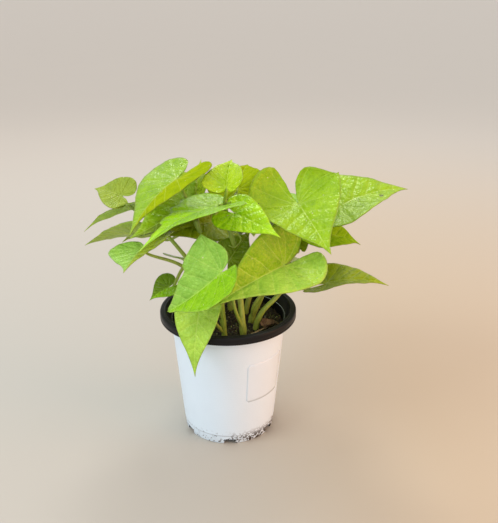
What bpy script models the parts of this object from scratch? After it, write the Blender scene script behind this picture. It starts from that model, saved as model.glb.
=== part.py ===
# Sweet potato vine in a round nursery pot.
# Origin at the centre of the pot's foot, +Z up, the front of the pot towards -Y. Metres.
# Leaf, stem and soil sizes below are written in millimetres and scaled by MM.

import bpy
import math
from mathutils import Vector, noise

MM = 0.001
GAP = 0.3                     # clearance between pieces that touch

# Pot, one moulded piece. Radii and heights in mm.
POT_SIDES = 36
RIM_RADIUS = 52.5
RIM_TOP = 101.5
RIM_SKIRT = 5.8               # height of the rolled rim's outer band
RIM_MOUTH_RADIUS = 47.4
RIM_SKIN = 1.0
WALL_TOP_RADIUS = 43.9
WALL_TOP = 94.0
WALL = 0.9
FOOT_RADIUS = 35.7
CREASE_HEIGHT = 7.0
CREASE_STEP = 0.4
NOTCHES = 6                   # drain notches in the corner of the foot
NOTCH_WIDTH = 9.0
NOTCH_HEIGHT = 4.0
NOTCH_DEPTH = 4.5
NOTCH_REACH = 9.0             # how far the notch cutter runs, well past the wall
DRAIN_HOLES = 4
DRAIN_RADIUS = 3.5
DRAIN_CIRCLE = 20.0
DRAIN_SIDES = 12

# Sticker on the front right of the wall.
STICKER_FROM = -71.0          # degrees round the pot, the front being at -90
STICKER_TO = -20.0
STICKER_BOTTOM = 38.0
STICKER_TOP = 72.0
STICKER_THICK = 0.3
STICKER_STEPS = 10
STICKER_LIFT = 0.15           # covers the flats of the faceted wall

# Soil.
SOIL_LEVEL = 89.0
SOIL_BUMP = 1.6
BUMP_SCALE = 0.09             # bumps about 11 mm across
SOIL_DISH = 0.02              # how much the top sinks towards the middle
SOIL_RINGS = 5
SOIL_SIDES = 24
ROOT_DEPTH = 20.0             # how far a stem stands in its hole
HOLE_ROOM = 0.9               # how much wider a hole's radius is than its stem's
HOLE_SIDES = 8

# Leaves.
BLADE_THICK = 0.7
BLADE_STEPS = 8               # outline points on each half of a blade
BLADE_RINGS = (0.55, 1.0)
STALK_RADIUS = 1.1
STALK_SIDES = 5
STALK_STEPS = 5
STEM_SIDES = 7

# Half outline of a heart-shaped blade as parts of the length from stalk to tip:
# along the midrib, then out to the side. It runs from the tip to the notch.
HALF_OUTLINE = (
    (1.00, 0.000), (0.86, 0.045), (0.70, 0.140), (0.48, 0.320), (0.22, 0.490),
    (-0.05, 0.570), (-0.28, 0.500), (-0.41, 0.340), (-0.40, 0.170), (-0.24, 0.055),
)
LOBE_REACH = 0.41
HALF_WIDTH = 0.57

WHITE_PLASTIC = ((0.86, 0.87, 0.88), 0.35)
STICKER_FILM = ((0.90, 0.90, 0.90), 0.25)
DARK_SOIL = ((0.030, 0.020, 0.013), 0.95)
DRY_BROWN = ((0.16, 0.085, 0.04), 0.85)
LIME_GREEN = ((0.30, 0.52, 0.03), 0.42)


def material(name, look):
    colour, roughness = look
    made = bpy.data.materials.new(name)
    made.use_nodes = True
    shader = made.node_tree.nodes["Principled BSDF"]
    shader.inputs["Base Color"].default_value = (*colour, 1.0)
    shader.inputs["Roughness"].default_value = roughness
    shader.inputs["Metallic"].default_value = 0.0
    return made


def solid(name, points, faces, look=None, smooth=True):
    """A mesh object from points in mm. Faces wind so that they look outwards."""
    mesh = bpy.data.meshes.new(name)
    mesh.from_pydata([Vector(p) * MM for p in points], [], faces)
    mesh.update()
    for face in mesh.polygons:
        face.use_smooth = smooth
    made = bpy.data.objects.new(name, mesh)
    bpy.context.scene.collection.objects.link(made)
    if look is not None:
        mesh.materials.append(material(name, look))
    return made


def remove(thing):
    bpy.data.objects.remove(thing, do_unlink=True)


def joined(target, others, operation, solver):
    """Target with the others added or cut away, as plain geometry. The others are removed."""
    group = bpy.data.collections.new(target.name + "_operands")
    bpy.context.scene.collection.children.link(group)
    for other in others:
        group.objects.link(other)
    step = target.modifiers.new("join", "BOOLEAN")
    step.operation = operation
    step.operand_type = "COLLECTION"
    step.collection = group
    step.solver = solver
    bpy.context.view_layer.update()
    graph = bpy.context.evaluated_depsgraph_get()
    result = bpy.data.meshes.new_from_object(target.evaluated_get(graph))
    target.modifiers.remove(step)
    look = target.data.materials[0] if target.data.materials else None
    target.data = result
    result.materials.clear()
    if look is not None:
        result.materials.append(look)
    for other in others:
        remove(other)
    bpy.data.collections.remove(group)
    return target


# Turned and swept solids


def turned(name, profile, sides, look=None):
    """Closed solid of revolution. The profile starts and ends on the axis, foot first."""
    points = []
    faces = []
    rings = []
    for radius, height in profile:
        if radius == 0.0:
            rings.append([len(points)])
            points.append((0.0, 0.0, height))
            continue
        ring = []
        for side in range(sides):
            turn = 2.0 * math.pi * side / sides
            ring.append(len(points))
            points.append((radius * math.cos(turn), radius * math.sin(turn), height))
        rings.append(ring)
    for low, high in zip(rings, rings[1:]):
        for side in range(sides):
            after = (side + 1) % sides
            if len(low) == 1:
                faces.append((low[0], high[after], high[side]))
            elif len(high) == 1:
                faces.append((low[side], low[after], high[0]))
            else:
                faces.append((low[side], low[after], high[after], high[side]))
    return solid(name, points, faces, look)


def smooth_path(points, steps):
    """Points on a smooth curve through the given ones, evenly many on each stretch."""
    points = [Vector(p) for p in points]
    ends = [points[0] * 2 - points[1]] + points + [points[-1] * 2 - points[-2]]
    made = []
    for before, start, end, after in zip(ends, ends[1:], ends[2:], ends[3:]):
        for step in range(steps):
            t = step / steps
            made.append(0.5 * (
                2.0 * start + (end - before) * t
                + (2.0 * before - 5.0 * start + 4.0 * end - after) * t * t
                + (3.0 * start - before - 3.0 * end + after) * t * t * t
            ))
    made.append(points[-1])
    return made


def arc_path(start, leave, arrive, end, steps):
    """Points on one cubic curve with the two given handles."""
    made = []
    for step in range(steps + 1):
        t = step / steps
        s = 1.0 - t
        near = s * s * s * start + 3 * s * s * t * leave
        far = 3 * s * t * t * arrive + t * t * t * end
        made.append(near + far)
    return made


def swept(name, path, radii, sides, look=None):
    """Round tube with flat ends along the path."""
    points = []
    faces = []
    across = None
    for index, centre in enumerate(path):
        ahead = path[min(index + 1, len(path) - 1)] - path[max(index - 1, 0)]
        ahead.normalize()
        if across is None:
            across = ahead.orthogonal().normalized()
        across = (across - ahead * across.dot(ahead)).normalized()
        other = ahead.cross(across)
        for side in range(sides):
            turn = 2.0 * math.pi * side / sides
            points.append(centre + (across * math.cos(turn) + other * math.sin(turn)) * radii[index])
    for index in range(len(path) - 1):
        low = index * sides
        high = low + sides
        for side in range(sides):
            after = (side + 1) % sides
            faces.append((low + side, low + after, high + after))
            faces.append((low + side, high + after, high + side))
    last = (len(path) - 1) * sides
    faces.append(tuple(reversed(range(sides))))
    faces.append(tuple(range(last, last + sides)))
    return solid(name, points, faces, look)


# Leaf blade


def half_outline(steps, width, back):
    """The half outline cut into equal lengths, tip first."""
    fine = smooth_path([(u, v, 0.0) for u, v in HALF_OUTLINE], 12)
    along = [0.0]
    for start, end in zip(fine, fine[1:]):
        along.append(along[-1] + (end - start).length)
    made = []
    spot = 0
    for step in range(steps + 1):
        goal = along[-1] * step / steps
        while spot < len(fine) - 2 and along[spot + 1] < goal:
            spot += 1
        share = (goal - along[spot]) / (along[spot + 1] - along[spot])
        point = fine[spot].lerp(fine[spot + 1], min(share, 1.0))
        u = point.x * back if point.x < 0.0 else point.x
        made.append((u, point.y * width))
    return made


def blade_frame(leaf):
    """Base point, directions along, across and out of the blade, and its true length."""
    base = Vector(leaf["base"])
    along = Vector(leaf["tip"]) - base
    reach = along.length
    along.normalize()
    out = Vector(leaf["facing"])
    out = (out - along * out.dot(along)).normalized()
    across = out.cross(along)
    droop = math.radians(leaf["droop"])
    length = reach * (droop / 2.0) / math.sin(droop / 2.0)
    return base, along, across, out, length


def blade_point(leaf, u, v):
    """Where a point of the flat blade lies once it droops, folds and curls."""
    base, along, across, out, length = blade_frame(leaf)
    droop = math.radians(leaf["droop"])
    lobe_bend = math.radians(leaf["lobes"]) / LOBE_REACH
    ahead = max(u, 0.0)
    behind = max(-u, 0.0)
    x = (math.sin(droop / 2.0) - math.sin(droop * (0.5 - ahead))) / droop
    z = (math.cos(droop * (0.5 - ahead)) - math.cos(droop / 2.0)) / droop
    x -= (math.sin(droop / 2.0) - math.sin(droop / 2.0 - lobe_bend * behind)) / lobe_bend
    z -= (math.cos(droop / 2.0 - lobe_bend * behind) - math.cos(droop / 2.0)) / lobe_bend
    slope = droop * (0.5 - ahead) if u >= 0.0 else droop / 2.0 - lobe_bend * behind
    side = 0 if v >= 0.0 else 1
    fold = math.radians(leaf["fold"][side])
    curl = math.radians(leaf["curl"][side])
    turn = fold + curl * abs(v) / HALF_WIDTH
    y = HALF_WIDTH / curl * (math.sin(turn) - math.sin(fold))
    lift = HALF_WIDTH / curl * (math.cos(fold) - math.cos(turn))
    outward = min(math.hypot(u, v) / 0.6, 1.0)
    lift += leaf["wave"] * outward * outward * math.sin(5.0 * math.atan2(v, u))
    y = y if side == 0 else -y
    y += leaf["sweep"] * 4.0 * min(ahead, 1.0) * (1.0 - min(ahead, 1.0))
    x -= math.sin(slope) * lift
    z += math.cos(slope) * lift
    return base + (along * x + across * y + out * z) * length


def blade(name, leaf):
    """Closed blade of even thickness, fanned out from the point where the stalk meets it."""
    half = half_outline(BLADE_STEPS, leaf["width"], leaf["back"])
    rays = list(reversed(half)) + [(u, -v) for u, v in half[1:]]
    flat = [(0.0, 0.0)]
    for u, v in rays:
        for share in BLADE_RINGS:
            flat.append((u * share, v * share))
    rings = len(BLADE_RINGS)
    upper = [blade_point(leaf, u, v) for u, v in flat]
    step = 0.004                  # part of the blade's length over which slopes are read
    lower = []
    for (u, v), top in zip(flat, upper):
        # The sideways slope is read on the point's own half, because the midrib is a crease.
        across_step = step if v >= 0.0 else -step
        slope_u = blade_point(leaf, u + step, v) - top
        slope_v = blade_point(leaf, u, v + across_step) - top
        down = slope_v.cross(slope_u) if v >= 0.0 else slope_u.cross(slope_v)
        if abs(v) < 1e-6:
            other = (blade_point(leaf, u, v - step) - top).cross(slope_u) * -1.0
            down = down.normalized() + other.normalized()
        lower.append(top + down.normalized() * BLADE_THICK)
    count = len(flat)
    faces = []
    for ray in range(len(rays) - 1):
        a = 1 + ray * rings
        b = a + rings
        faces.append((0, b, a))
        for ring in range(rings - 1):
            faces.append((a + ring, b + ring, b + ring + 1))
            faces.append((a + ring, b + ring + 1, a + ring + 1))
    faces += [tuple(count + corner for corner in reversed(face)) for face in faces]
    first = [0] + list(range(1, rings + 1))
    tips = [1 + ray * rings + rings - 1 for ray in range(len(rays))]
    last = [1 + (len(rays) - 1) * rings + ring for ring in range(rings)]
    edge = first + tips[1:] + list(reversed(last))[1:]
    for start, end in zip(edge, edge[1:] + edge[:1]):
        faces.append((start, end, count + end))
        faces.append((start, count + end, count + start))
    return solid(name, upper + lower, faces)


# Leafy stem


def along_path(path, share):
    """A point a share of the way along a path, and the direction there."""
    place = share * (len(path) - 1)
    index = min(int(place), len(path) - 2)
    point = path[index].lerp(path[index + 1], place - index)
    return point, (path[index + 1] - path[index]).normalized()


def stalk(name, leaf, stem_path):
    """Leaf stalk from inside the stem to the notch, its end sunk into the blade."""
    base, along, across, out, length = blade_frame(leaf)
    start, ahead = along_path(stem_path, leaf["at"])
    under = base - out * (BLADE_THICK + 0.4 * STALK_RADIUS)
    reach = (under - start).length
    leave = start + (ahead * 0.5 + (under - start).normalized() * 0.5) * reach * 0.4
    hang = Vector((-along.x * 0.6, -along.y * 0.6, -0.8)).normalized()
    arrive = under + hang * reach * 0.35
    if leaf["via"] is None:
        path = arc_path(start, leave, arrive, under, STALK_STEPS)
    else:
        path = smooth_path([start, leaf["via"], under], 3)
    radii = [STALK_RADIUS * (1.25 - 0.25 * i / (len(path) - 1)) for i in range(len(path))]
    path.append(base + along - out * BLADE_THICK * 0.5)
    radii.append(0.25)
    return swept(name, path, radii, STALK_SIDES)


def leaf(base, tip, facing, at, fold=(12, 12), curl=(10, 10), droop=35, lobes=15, width=1.0,
         back=0.9, sweep=0.0, wave=0.012, via=None):
    """One leaf's own sizes. At is how far up its stem the stalk leaves."""
    curl = tuple(c if abs(c) > 0.5 else 0.5 for c in curl)
    return dict(base=base, tip=tip, facing=facing, at=at, fold=fold, curl=curl, droop=droop,
                lobes=lobes, width=width, back=back, sweep=sweep, wave=wave, via=via)


def leafy_stem(name, path, radius, leaves):
    """Stem, leaf stalks and blades, grown as one piece. The stem's foot stands in the soil."""
    foot = Vector((path[0][0], path[0][1], SOIL_LEVEL - ROOT_DEPTH))
    points = smooth_path([foot] + [Vector(p) for p in path], 2)
    count = len(points) - 1
    radii = [radius * (1.0 - 0.4 * index / count) for index in range(count + 1)]
    stem = swept(name, points, radii, STEM_SIDES, LIME_GREEN)
    grown = []
    for number, one in enumerate(leaves):
        grown.append(stalk(name + "_stalk_%d" % number, one, points[2:]))
        grown.append(blade(name + "_blade_%d" % number, one))
    return joined(stem, grown, "UNION", "MANIFOLD")


# Pot


def pot():
    skirt_low = RIM_TOP - RIM_SKIRT
    profile = [
        (0.0, 0.0),
        (FOOT_RADIUS - 1.0, 0.0),
        (FOOT_RADIUS - 0.2, 0.8),
        (FOOT_RADIUS + 0.2, CREASE_HEIGHT),
        (FOOT_RADIUS + 0.2 + CREASE_STEP, CREASE_HEIGHT + 0.5),
        (WALL_TOP_RADIUS - 1.9, 70.0),
        (WALL_TOP_RADIUS, WALL_TOP),
        (WALL_TOP_RADIUS + 2.9, skirt_low + 0.9),
        (RIM_MOUTH_RADIUS + 1.1, RIM_TOP - RIM_SKIN - 0.8),
        (RIM_RADIUS - RIM_SKIN - 0.6, RIM_TOP - RIM_SKIN),
        (RIM_RADIUS - RIM_SKIN, RIM_TOP - RIM_SKIN - 0.6),
        (RIM_RADIUS - RIM_SKIN, skirt_low),
        (RIM_RADIUS, skirt_low),
        (RIM_RADIUS, RIM_TOP - 0.8),
        (RIM_RADIUS - 0.8, RIM_TOP),
        (RIM_MOUTH_RADIUS + 0.6, RIM_TOP),
        (RIM_MOUTH_RADIUS, RIM_TOP - 0.6),
        (RIM_MOUTH_RADIUS - 1.6, skirt_low + 1.8),
        (WALL_TOP_RADIUS - WALL, WALL_TOP + 0.4),
        (WALL_TOP_RADIUS - WALL - 1.9, 70.0),
        (FOOT_RADIUS + 0.2 + CREASE_STEP - WALL, CREASE_HEIGHT + 0.5),
        (FOOT_RADIUS - WALL - 0.4, 1.8),
        (FOOT_RADIUS - WALL - 1.4, WALL),
        (0.0, WALL),
    ]
    body = turned("pot", profile, POT_SIDES, WHITE_PLASTIC)
    cutters = []
    for number in range(NOTCHES):
        turn = math.radians(-90.0 + 360.0 * number / NOTCHES)
        cutters.append(notch_cutter("notch_%d" % number, turn))
    for number in range(DRAIN_HOLES):
        turn = math.radians(45.0 + 360.0 * number / DRAIN_HOLES)
        centre = (DRAIN_CIRCLE * math.cos(turn), DRAIN_CIRCLE * math.sin(turn))
        cutters.append(round_cutter("drain_%d" % number, centre, DRAIN_RADIUS, -2.0, 4.0, DRAIN_SIDES))
    return joined(body, cutters, "DIFFERENCE", "EXACT")


def notch_cutter(name, turn):
    """Box across the corner of the foot, turned to face outwards."""
    outward = Vector((math.cos(turn), math.sin(turn), 0.0))
    sideways = Vector((-math.sin(turn), math.cos(turn), 0.0))
    near = FOOT_RADIUS - NOTCH_DEPTH
    points = []
    for height in (-1.0, NOTCH_HEIGHT):
        for reach, offset in ((near, -1), (near + NOTCH_REACH, -1), (near + NOTCH_REACH, 1), (near, 1)):
            place = outward * reach + sideways * (offset * NOTCH_WIDTH / 2.0)
            points.append((place.x, place.y, height))
    faces = [(3, 2, 1, 0), (4, 5, 6, 7), (0, 1, 5, 4), (1, 2, 6, 5), (2, 3, 7, 6), (3, 0, 4, 7)]
    return solid(name, points, faces)


def round_cutter(name, centre, radius, low, high, sides):
    ends = [Vector((centre[0], centre[1], low)), Vector((centre[0], centre[1], high))]
    return swept(name, ends, [radius, radius], sides)


def sticker():
    """Thin blank film that follows the wall."""
    points = []
    for height in (STICKER_BOTTOM, STICKER_TOP):
        share = (height - CREASE_HEIGHT - 0.5) / (WALL_TOP - CREASE_HEIGHT - 0.5)
        foot = FOOT_RADIUS + 0.2 + CREASE_STEP
        wall = foot + (WALL_TOP_RADIUS - foot) * share
        for lift in (GAP, GAP + STICKER_THICK):
            for step in range(STICKER_STEPS + 1):
                turn = math.radians(STICKER_FROM + (STICKER_TO - STICKER_FROM) * step / STICKER_STEPS)
                reach = wall + STICKER_LIFT + lift
                points.append((reach * math.cos(turn), reach * math.sin(turn), height))
    row = STICKER_STEPS + 1
    faces = []
    for step in range(STICKER_STEPS):
        inner_low, outer_low = step, row + step
        inner_high, outer_high = 2 * row + step, 3 * row + step
        faces.append((outer_low, outer_low + 1, outer_high + 1, outer_high))
        faces.append((inner_low + 1, inner_low, inner_high, inner_high + 1))
        faces.append((inner_low, inner_low + 1, outer_low + 1, outer_low))
        faces.append((inner_high + 1, inner_high, outer_high, outer_high + 1))
    faces.append((0, row, 3 * row, 2 * row))
    last = STICKER_STEPS
    faces.append((row + last, last, 2 * row + last, 3 * row + last))
    return solid("sticker", points, faces, STICKER_FILM)


# Soil


def soil(stems):
    """Filling with a bumpy top, a clearance from the pot and a plain hole for every stem."""
    points = []
    faces = []
    rings = []
    foot = FOOT_RADIUS - WALL - GAP
    wall_low = FOOT_RADIUS + 0.2 + CREASE_STEP - WALL - GAP
    edge = WALL_TOP_RADIUS - WALL - GAP - 0.5
    profile = [
        (foot - 1.5, WALL + GAP),
        (foot - 0.5, 2.0 + GAP),
        (wall_low - 0.1, CREASE_HEIGHT + 0.5),
    ]
    for ring in range(SOIL_RINGS, 0, -1):
        profile.append((edge * ring / SOIL_RINGS, None))
    for radius, height in profile:
        ring = []
        for side in range(SOIL_SIDES):
            turn = 2.0 * math.pi * side / SOIL_SIDES
            x = radius * math.cos(turn)
            y = radius * math.sin(turn)
            bump = SOIL_BUMP * noise.noise((x * BUMP_SCALE, y * BUMP_SCALE, 3.0))
            top = SOIL_LEVEL + bump - SOIL_DISH * (edge - radius)
            ring.append(len(points))
            points.append((x, y, top if height is None else height))
        rings.append(ring)
    for low, high in zip(rings, rings[1:]):
        for side in range(SOIL_SIDES):
            after = (side + 1) % SOIL_SIDES
            faces.append((low[side], low[after], high[after]))
            faces.append((low[side], high[after], high[side]))
    for ring, height, upward in ((rings[0], WALL + GAP, False), (rings[-1], SOIL_LEVEL, True)):
        centre = len(points)
        points.append((0.0, 0.0, height))
        for side in range(SOIL_SIDES):
            after = (side + 1) % SOIL_SIDES
            corners = (ring[side], ring[after], centre)
            faces.append(corners if upward else tuple(reversed(corners)))
    body = solid("soil", points, faces, DARK_SOIL)
    cutters = []
    for name, path, radius in stems:
        centre = (path[0][0], path[0][1])
        low = SOIL_LEVEL - ROOT_DEPTH - GAP
        wide = radius + HOLE_ROOM
        cutters.append(round_cutter("hole_" + name, centre, wide, low, WALL_TOP, HOLE_SIDES))
    return joined(body, cutters, "DIFFERENCE", "EXACT")


def dry_leaf():
    """Small dead leaf with its stalk, lying on the soil in front of the right-hand stems."""
    dead = leaf(base=(29, -17, 92.6), tip=(40, -11, 91.6), facing=(0, 0, 1), at=0.0, fold=(35, 30),
                curl=(40, 30), droop=30, lobes=30, width=0.9, wave=0.05)
    body = blade("dry_leaf", dead)
    body.data.materials.append(material("dry_leaf", DRY_BROWN))
    under = Vector((29.8, -16.6, 92.2))
    path = smooth_path([(17, -29, 92.4), (23, -24, 92.8), under], 3)
    stub = swept("dry_stalk", path, [0.8] * len(path), STALK_SIDES)
    return joined(body, [stub], "UNION", "MANIFOLD")


# The plant: every rooted stem with its own leaves. Positions in mm from the pot's foot centre.


STEM_TOP = (
    "stem_top",
    [(11, -24, 90), (9, -20, 118), (7, -17, 146), (1, -13, 172), (-2, -12, 188)],
    2.6,
)
LEAVES_TOP = [
    leaf((-0.1, -18.7, 202), (3.9, 8.4, 215.6), (-0.3, -0.39, 0.87), at=0.98, fold=(39, 24),
         curl=(-2, 19), droop=29, lobes=10, width=1.04, back=0.51),
    leaf((-7.7, -21.7, 189.3), (-59.7, -55.1, 167.3), (-0.34, -0.08, 0.94), at=0.86, fold=(10, 7),
         curl=(-4, 5), droop=38, lobes=18, width=0.8, back=0.5),
    leaf((5.1, -23.4, 185.1), (36.4, -47.2, 174.5), (0.03, -0.37, 0.93), at=0.80, fold=(21, -15),
         curl=(-11, 15), droop=15, lobes=24, width=0.75, back=0.66),
    leaf((8, 15, 191), (17, 52, 201), (-0.1, -0.2, 1.0), at=0.92, fold=(12, 18)),
    leaf((2, -21, 150), (17, -5, 165), (0.1, -0.7, 0.7), at=0.04, fold=(12, 18), via=(4, -29, 118)),
]

STEM_LEFT_HIGH = ("stem_left_high", [(-4, -8, 90), (-8, -6, 120), (-16, -2, 150), (-24, 2, 172)], 2.5)
LEAVES_LEFT_HIGH = [
    leaf((-36, -1, 204), (-69, -30, 170), (-0.5, -0.4, 0.8), at=1.0, fold=(13, 2), curl=(1, -1),
         lobes=11),
    leaf((-30, 18, 179), (-72, -8, 161), (-0.1, -0.6, 0.8), at=0.95, fold=(18, 12), curl=(25, 10),
         sweep=0.08),
    leaf((-23, 26, 184), (-20, 52, 205), (-0.6, -0.3, 0.7), at=0.85, fold=(0, 20), droop=10),
    leaf((-12, 14, 166), (-49, -4, 160), (0.2, -0.6, 0.8), at=0.04, via=(-9, -14, 112)),
]

STEM_LEFT_LOW = ("stem_left_low", [(-14, -13, 90), (-20, -12, 115), (-32, -10, 140)], 2.2)
LEAVES_LEFT_LOW = [
    leaf((-61, -17, 157), (-69, -62, 157), (-0.3, 0, 0.9), at=0.95, fold=(6, 6), droop=10),
    leaf((-44, -12, 124), (-58, -20, 117), (0, -0.4, 0.9), at=0.98, fold=(7, 10), back=1.2, width=1.2),
]

STEM_LEFT_BACK = ("stem_left_back", [(-10, 6, 90), (-20, 10, 120), (-38, 15, 145), (-52, 20, 160)], 2.2)
LEAVES_LEFT_BACK = [
    leaf((-81, 29, 183), (-104, 45, 184), (-0.3, -0.5, 0.8), at=1.0, droop=25),
    leaf((-68, 33, 176), (-113, 35, 152), (-0.4, 0.3, 0.8), at=0.97, fold=(0, -10), curl=(1, -1),
         width=0.8),
    leaf((-71, 24, 154), (-110, 20, 146), (-0.2, 0.5, 0.9), at=0.9, fold=(8, -3)),
]

STEM_FRONT = ("stem_front", [(-3, -24, 90), (-4, -27, 110), (-5, -32, 132)], 2.3)
LEAVES_FRONT = [
    leaf((-4.5, -57.9, 154.6), (-45.8, -53.2, 122), (-0.6, -0.4, 0.7), at=0.97, fold=(6, 43),
         curl=(12, -6), droop=9, lobes=55, width=0.99, back=0.8, sweep=0.08, via=(-11, -44, 147)),
    leaf((-20, -44, 121), (-24, -61, 76), (-0.4, -0.9, 0.2), at=0.02, fold=(12, 6), width=0.68,
         back=0.7, via=(-11, -30, 104)),
]

STEM_FRONT_RIGHT = ("stem_front_right", [(21, -13, 90), (26, -14, 104), (38, -12, 117), (46, -10, 134)], 2.5)
LEAVES_FRONT_RIGHT = [
    leaf((40.2, -28.2, 146.8), (-14.1, -70.9, 132.9), (0.12, -0.44, 0.89), at=0.9, fold=(18, 48),
         curl=(-12, 6), droop=15, lobes=55, width=0.78, back=0.92),
    leaf((75, -6, 123), (121, -12, 123), (0, 0, 1), at=0.7, fold=(6, 9), droop=43),
]

STEM_RIGHT = ("stem_right", [(18, -1, 90), (24, -4, 108), (32, -5, 128), (42, -3, 155)], 2.7)
LEAVES_RIGHT = [
    leaf((51.3, -10.2, 187.1), (68.4, -62, 167.9), (0.04, -0.33, 0.94), at=1.0, fold=(34, -3),
         curl=(3, 15), droop=6, lobes=60, width=1.09, back=1.35),
    leaf((53, -9, 153), (51, 13, 158), (-0.3, -0.2, 0.9), at=0.04, fold=(50, 45),
         via=(22, -11, 112)),
    leaf((66, -2, 161), (102, 9, 148), (0.4, -0.3, 0.9), at=0.9),
    leaf((84, 9, 179), (139, 25, 187), (0, -0.3, 1), at=0.98, fold=(6, 13), droop=40),
]

STEM_BACK_LEFT = ("stem_back_left", [(-6, 14, 90), (-12, 22, 118), (-20, 30, 145), (-26, 34, 164)], 2.4)
LEAVES_BACK_LEFT = [
    leaf((-34, 60, 160), (-60, 92, 140), (-0.2, 0.3, 1), at=1.0),
    leaf((-56, 54, 142), (-90, 74, 128), (-0.2, 0.3, 1), at=0.8),
    leaf((-28, 58, 118), (-34, 98, 94), (-0.1, 0.4, 1), at=0.35),
]

STEM_BACK = ("stem_back", [(2, 20, 90), (2, 28, 120), (0, 32, 150), (-4, 34, 172)], 2.5)
LEAVES_BACK = [
    leaf((-2, 54, 182), (-4, 102, 162), (-0.1, 0.3, 1), at=1.0),
    leaf((12, 64, 182), (18, 102, 168), (0.1, -0.1, 1), at=0.95),
    leaf((-10, 60, 134), (-22, 102, 114), (-0.1, 0.4, 1), at=0.7),
    leaf((16, 60, 142), (24, 102, 122), (0.1, 0.4, 1), at=0.04, via=(6, 20, 112)),
]

STEM_BACK_RIGHT = ("stem_back_right", [(14, 14, 90), (22, 22, 116), (32, 28, 142), (38, 30, 160)], 2.5)
LEAVES_BACK_RIGHT = [
    leaf((40, 46, 168), (58, 90, 150), (0.1, 0.3, 1), at=1.0),
    leaf((58, 48, 166), (94, 78, 152), (0.2, 0.2, 1), at=0.95),
    leaf((56, 44, 150), (92, 72, 136), (0.2, 0.3, 1), at=0.75),
    leaf((26, 60, 118), (36, 102, 96), (0.1, 0.4, 1), at=0.35),
    leaf((58, 42, 116), (88, 68, 100), (0.2, 0.3, 1), at=0.45),
]


# Build


def build():
    for thing in list(bpy.data.objects):
        bpy.data.objects.remove(thing, do_unlink=True)
    plant = [
        (STEM_TOP, LEAVES_TOP),
        (STEM_LEFT_HIGH, LEAVES_LEFT_HIGH),
        (STEM_LEFT_LOW, LEAVES_LEFT_LOW),
        (STEM_LEFT_BACK, LEAVES_LEFT_BACK),
        (STEM_FRONT, LEAVES_FRONT),
        (STEM_FRONT_RIGHT, LEAVES_FRONT_RIGHT),
        (STEM_RIGHT, LEAVES_RIGHT),
        (STEM_BACK_LEFT, LEAVES_BACK_LEFT),
        (STEM_BACK, LEAVES_BACK),
        (STEM_BACK_RIGHT, LEAVES_BACK_RIGHT),
    ]
    pot()
    sticker()
    soil([stem for stem, leaves in plant])
    dry_leaf()
    for (name, path, radius), leaves in plant:
        leafy_stem(name, path, radius, leaves)


build()
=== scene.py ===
import bpy
import math
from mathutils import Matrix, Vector, noise


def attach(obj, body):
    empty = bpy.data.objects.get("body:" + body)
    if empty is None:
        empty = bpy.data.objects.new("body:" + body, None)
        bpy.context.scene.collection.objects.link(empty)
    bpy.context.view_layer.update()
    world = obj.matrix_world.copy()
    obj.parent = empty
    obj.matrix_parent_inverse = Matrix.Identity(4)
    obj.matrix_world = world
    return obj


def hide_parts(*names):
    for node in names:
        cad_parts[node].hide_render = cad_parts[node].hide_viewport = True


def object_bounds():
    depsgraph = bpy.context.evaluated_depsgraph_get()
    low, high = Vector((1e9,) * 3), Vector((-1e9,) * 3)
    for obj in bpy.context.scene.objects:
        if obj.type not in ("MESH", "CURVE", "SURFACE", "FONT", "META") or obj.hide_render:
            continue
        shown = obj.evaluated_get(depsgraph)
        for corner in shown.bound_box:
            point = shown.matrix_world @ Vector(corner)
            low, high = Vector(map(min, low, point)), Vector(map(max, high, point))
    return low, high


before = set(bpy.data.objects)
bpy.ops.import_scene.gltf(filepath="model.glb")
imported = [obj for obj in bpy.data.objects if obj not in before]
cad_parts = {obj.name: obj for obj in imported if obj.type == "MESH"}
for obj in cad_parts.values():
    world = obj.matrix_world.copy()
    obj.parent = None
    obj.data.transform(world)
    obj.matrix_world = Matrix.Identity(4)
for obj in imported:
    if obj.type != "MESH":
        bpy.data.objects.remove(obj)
cad_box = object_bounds()

# Camera
# It stands where the photograph was taken: above the pot's rim, looking down at the front
# and turned slightly to the right.

CAMERA_PLACE = (0.0, -0.490, 0.336)
CAMERA_DOWN = 21.9            # degrees below the horizon
CAMERA_RIGHT = 1.88
CAMERA_LENS = 48.18

lens = bpy.data.cameras.new("photo_camera")
lens.lens = CAMERA_LENS
lens.sensor_width = 36.0
lens.clip_start = 0.01
camera = bpy.data.objects.new("photo_camera", lens)
camera.location = CAMERA_PLACE
camera.rotation_euler = (math.radians(90.0 - CAMERA_DOWN), 0.0, math.radians(-CAMERA_RIGHT))
bpy.context.scene.collection.objects.link(camera)
bpy.context.scene.camera = camera

# Pot
# A four inch nursery pot, moulded in one piece of thin plastic that is white outside and
# black inside. Its rim is rolled over into a black band, and the foot is cut for drainage.

MM = 0.001
POT_SIDES = 144
FOOT_RADIUS = 35.7
CREASE_HEIGHT = 7.0
CREASE_STEP = 0.6             # how far the wall stands out over the foot ring
CREASE_RISE = 0.5
WALL = 0.9
WALL_FOOT_RADIUS = 36.35
WALL_FOOT = 7.9
WALL_TOP_RADIUS = 43.9
WALL_TOP = 94.0
WALL_BEND_RADIUS = 42.0       # where the wall's slope changes a little
WALL_BEND = 70.0
MOUTH_RADIUS = 47.4
RIM_RADIUS = 52.5
RIM_TOP = 101.5
BAND_LOW = 95.7
RIM_SKIN = 1.0
NOTCHES = 6
NOTCH_WIDTH = 9.0
NOTCH_HEIGHT = 4.0
NOTCH_INNER = 31.2
NOTCH_OUTER = 40.2
DRAIN_HOLES = 4
DRAIN_SIDES = 24
DRAIN_RADIUS = 3.5
DRAIN_CIRCLE = 20.0
POT_WHITE = (0.77, 0.88, 0.98)
POT_BLACK = (0.012, 0.012, 0.013)
# The soil's colour, also used for the painted shade along the crease.
POT_DIRT_AND_SHADE = (0.060, 0.042, 0.030)
MOULD_RING = 0.0016           # metres between the mould's fine turning marks


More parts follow.
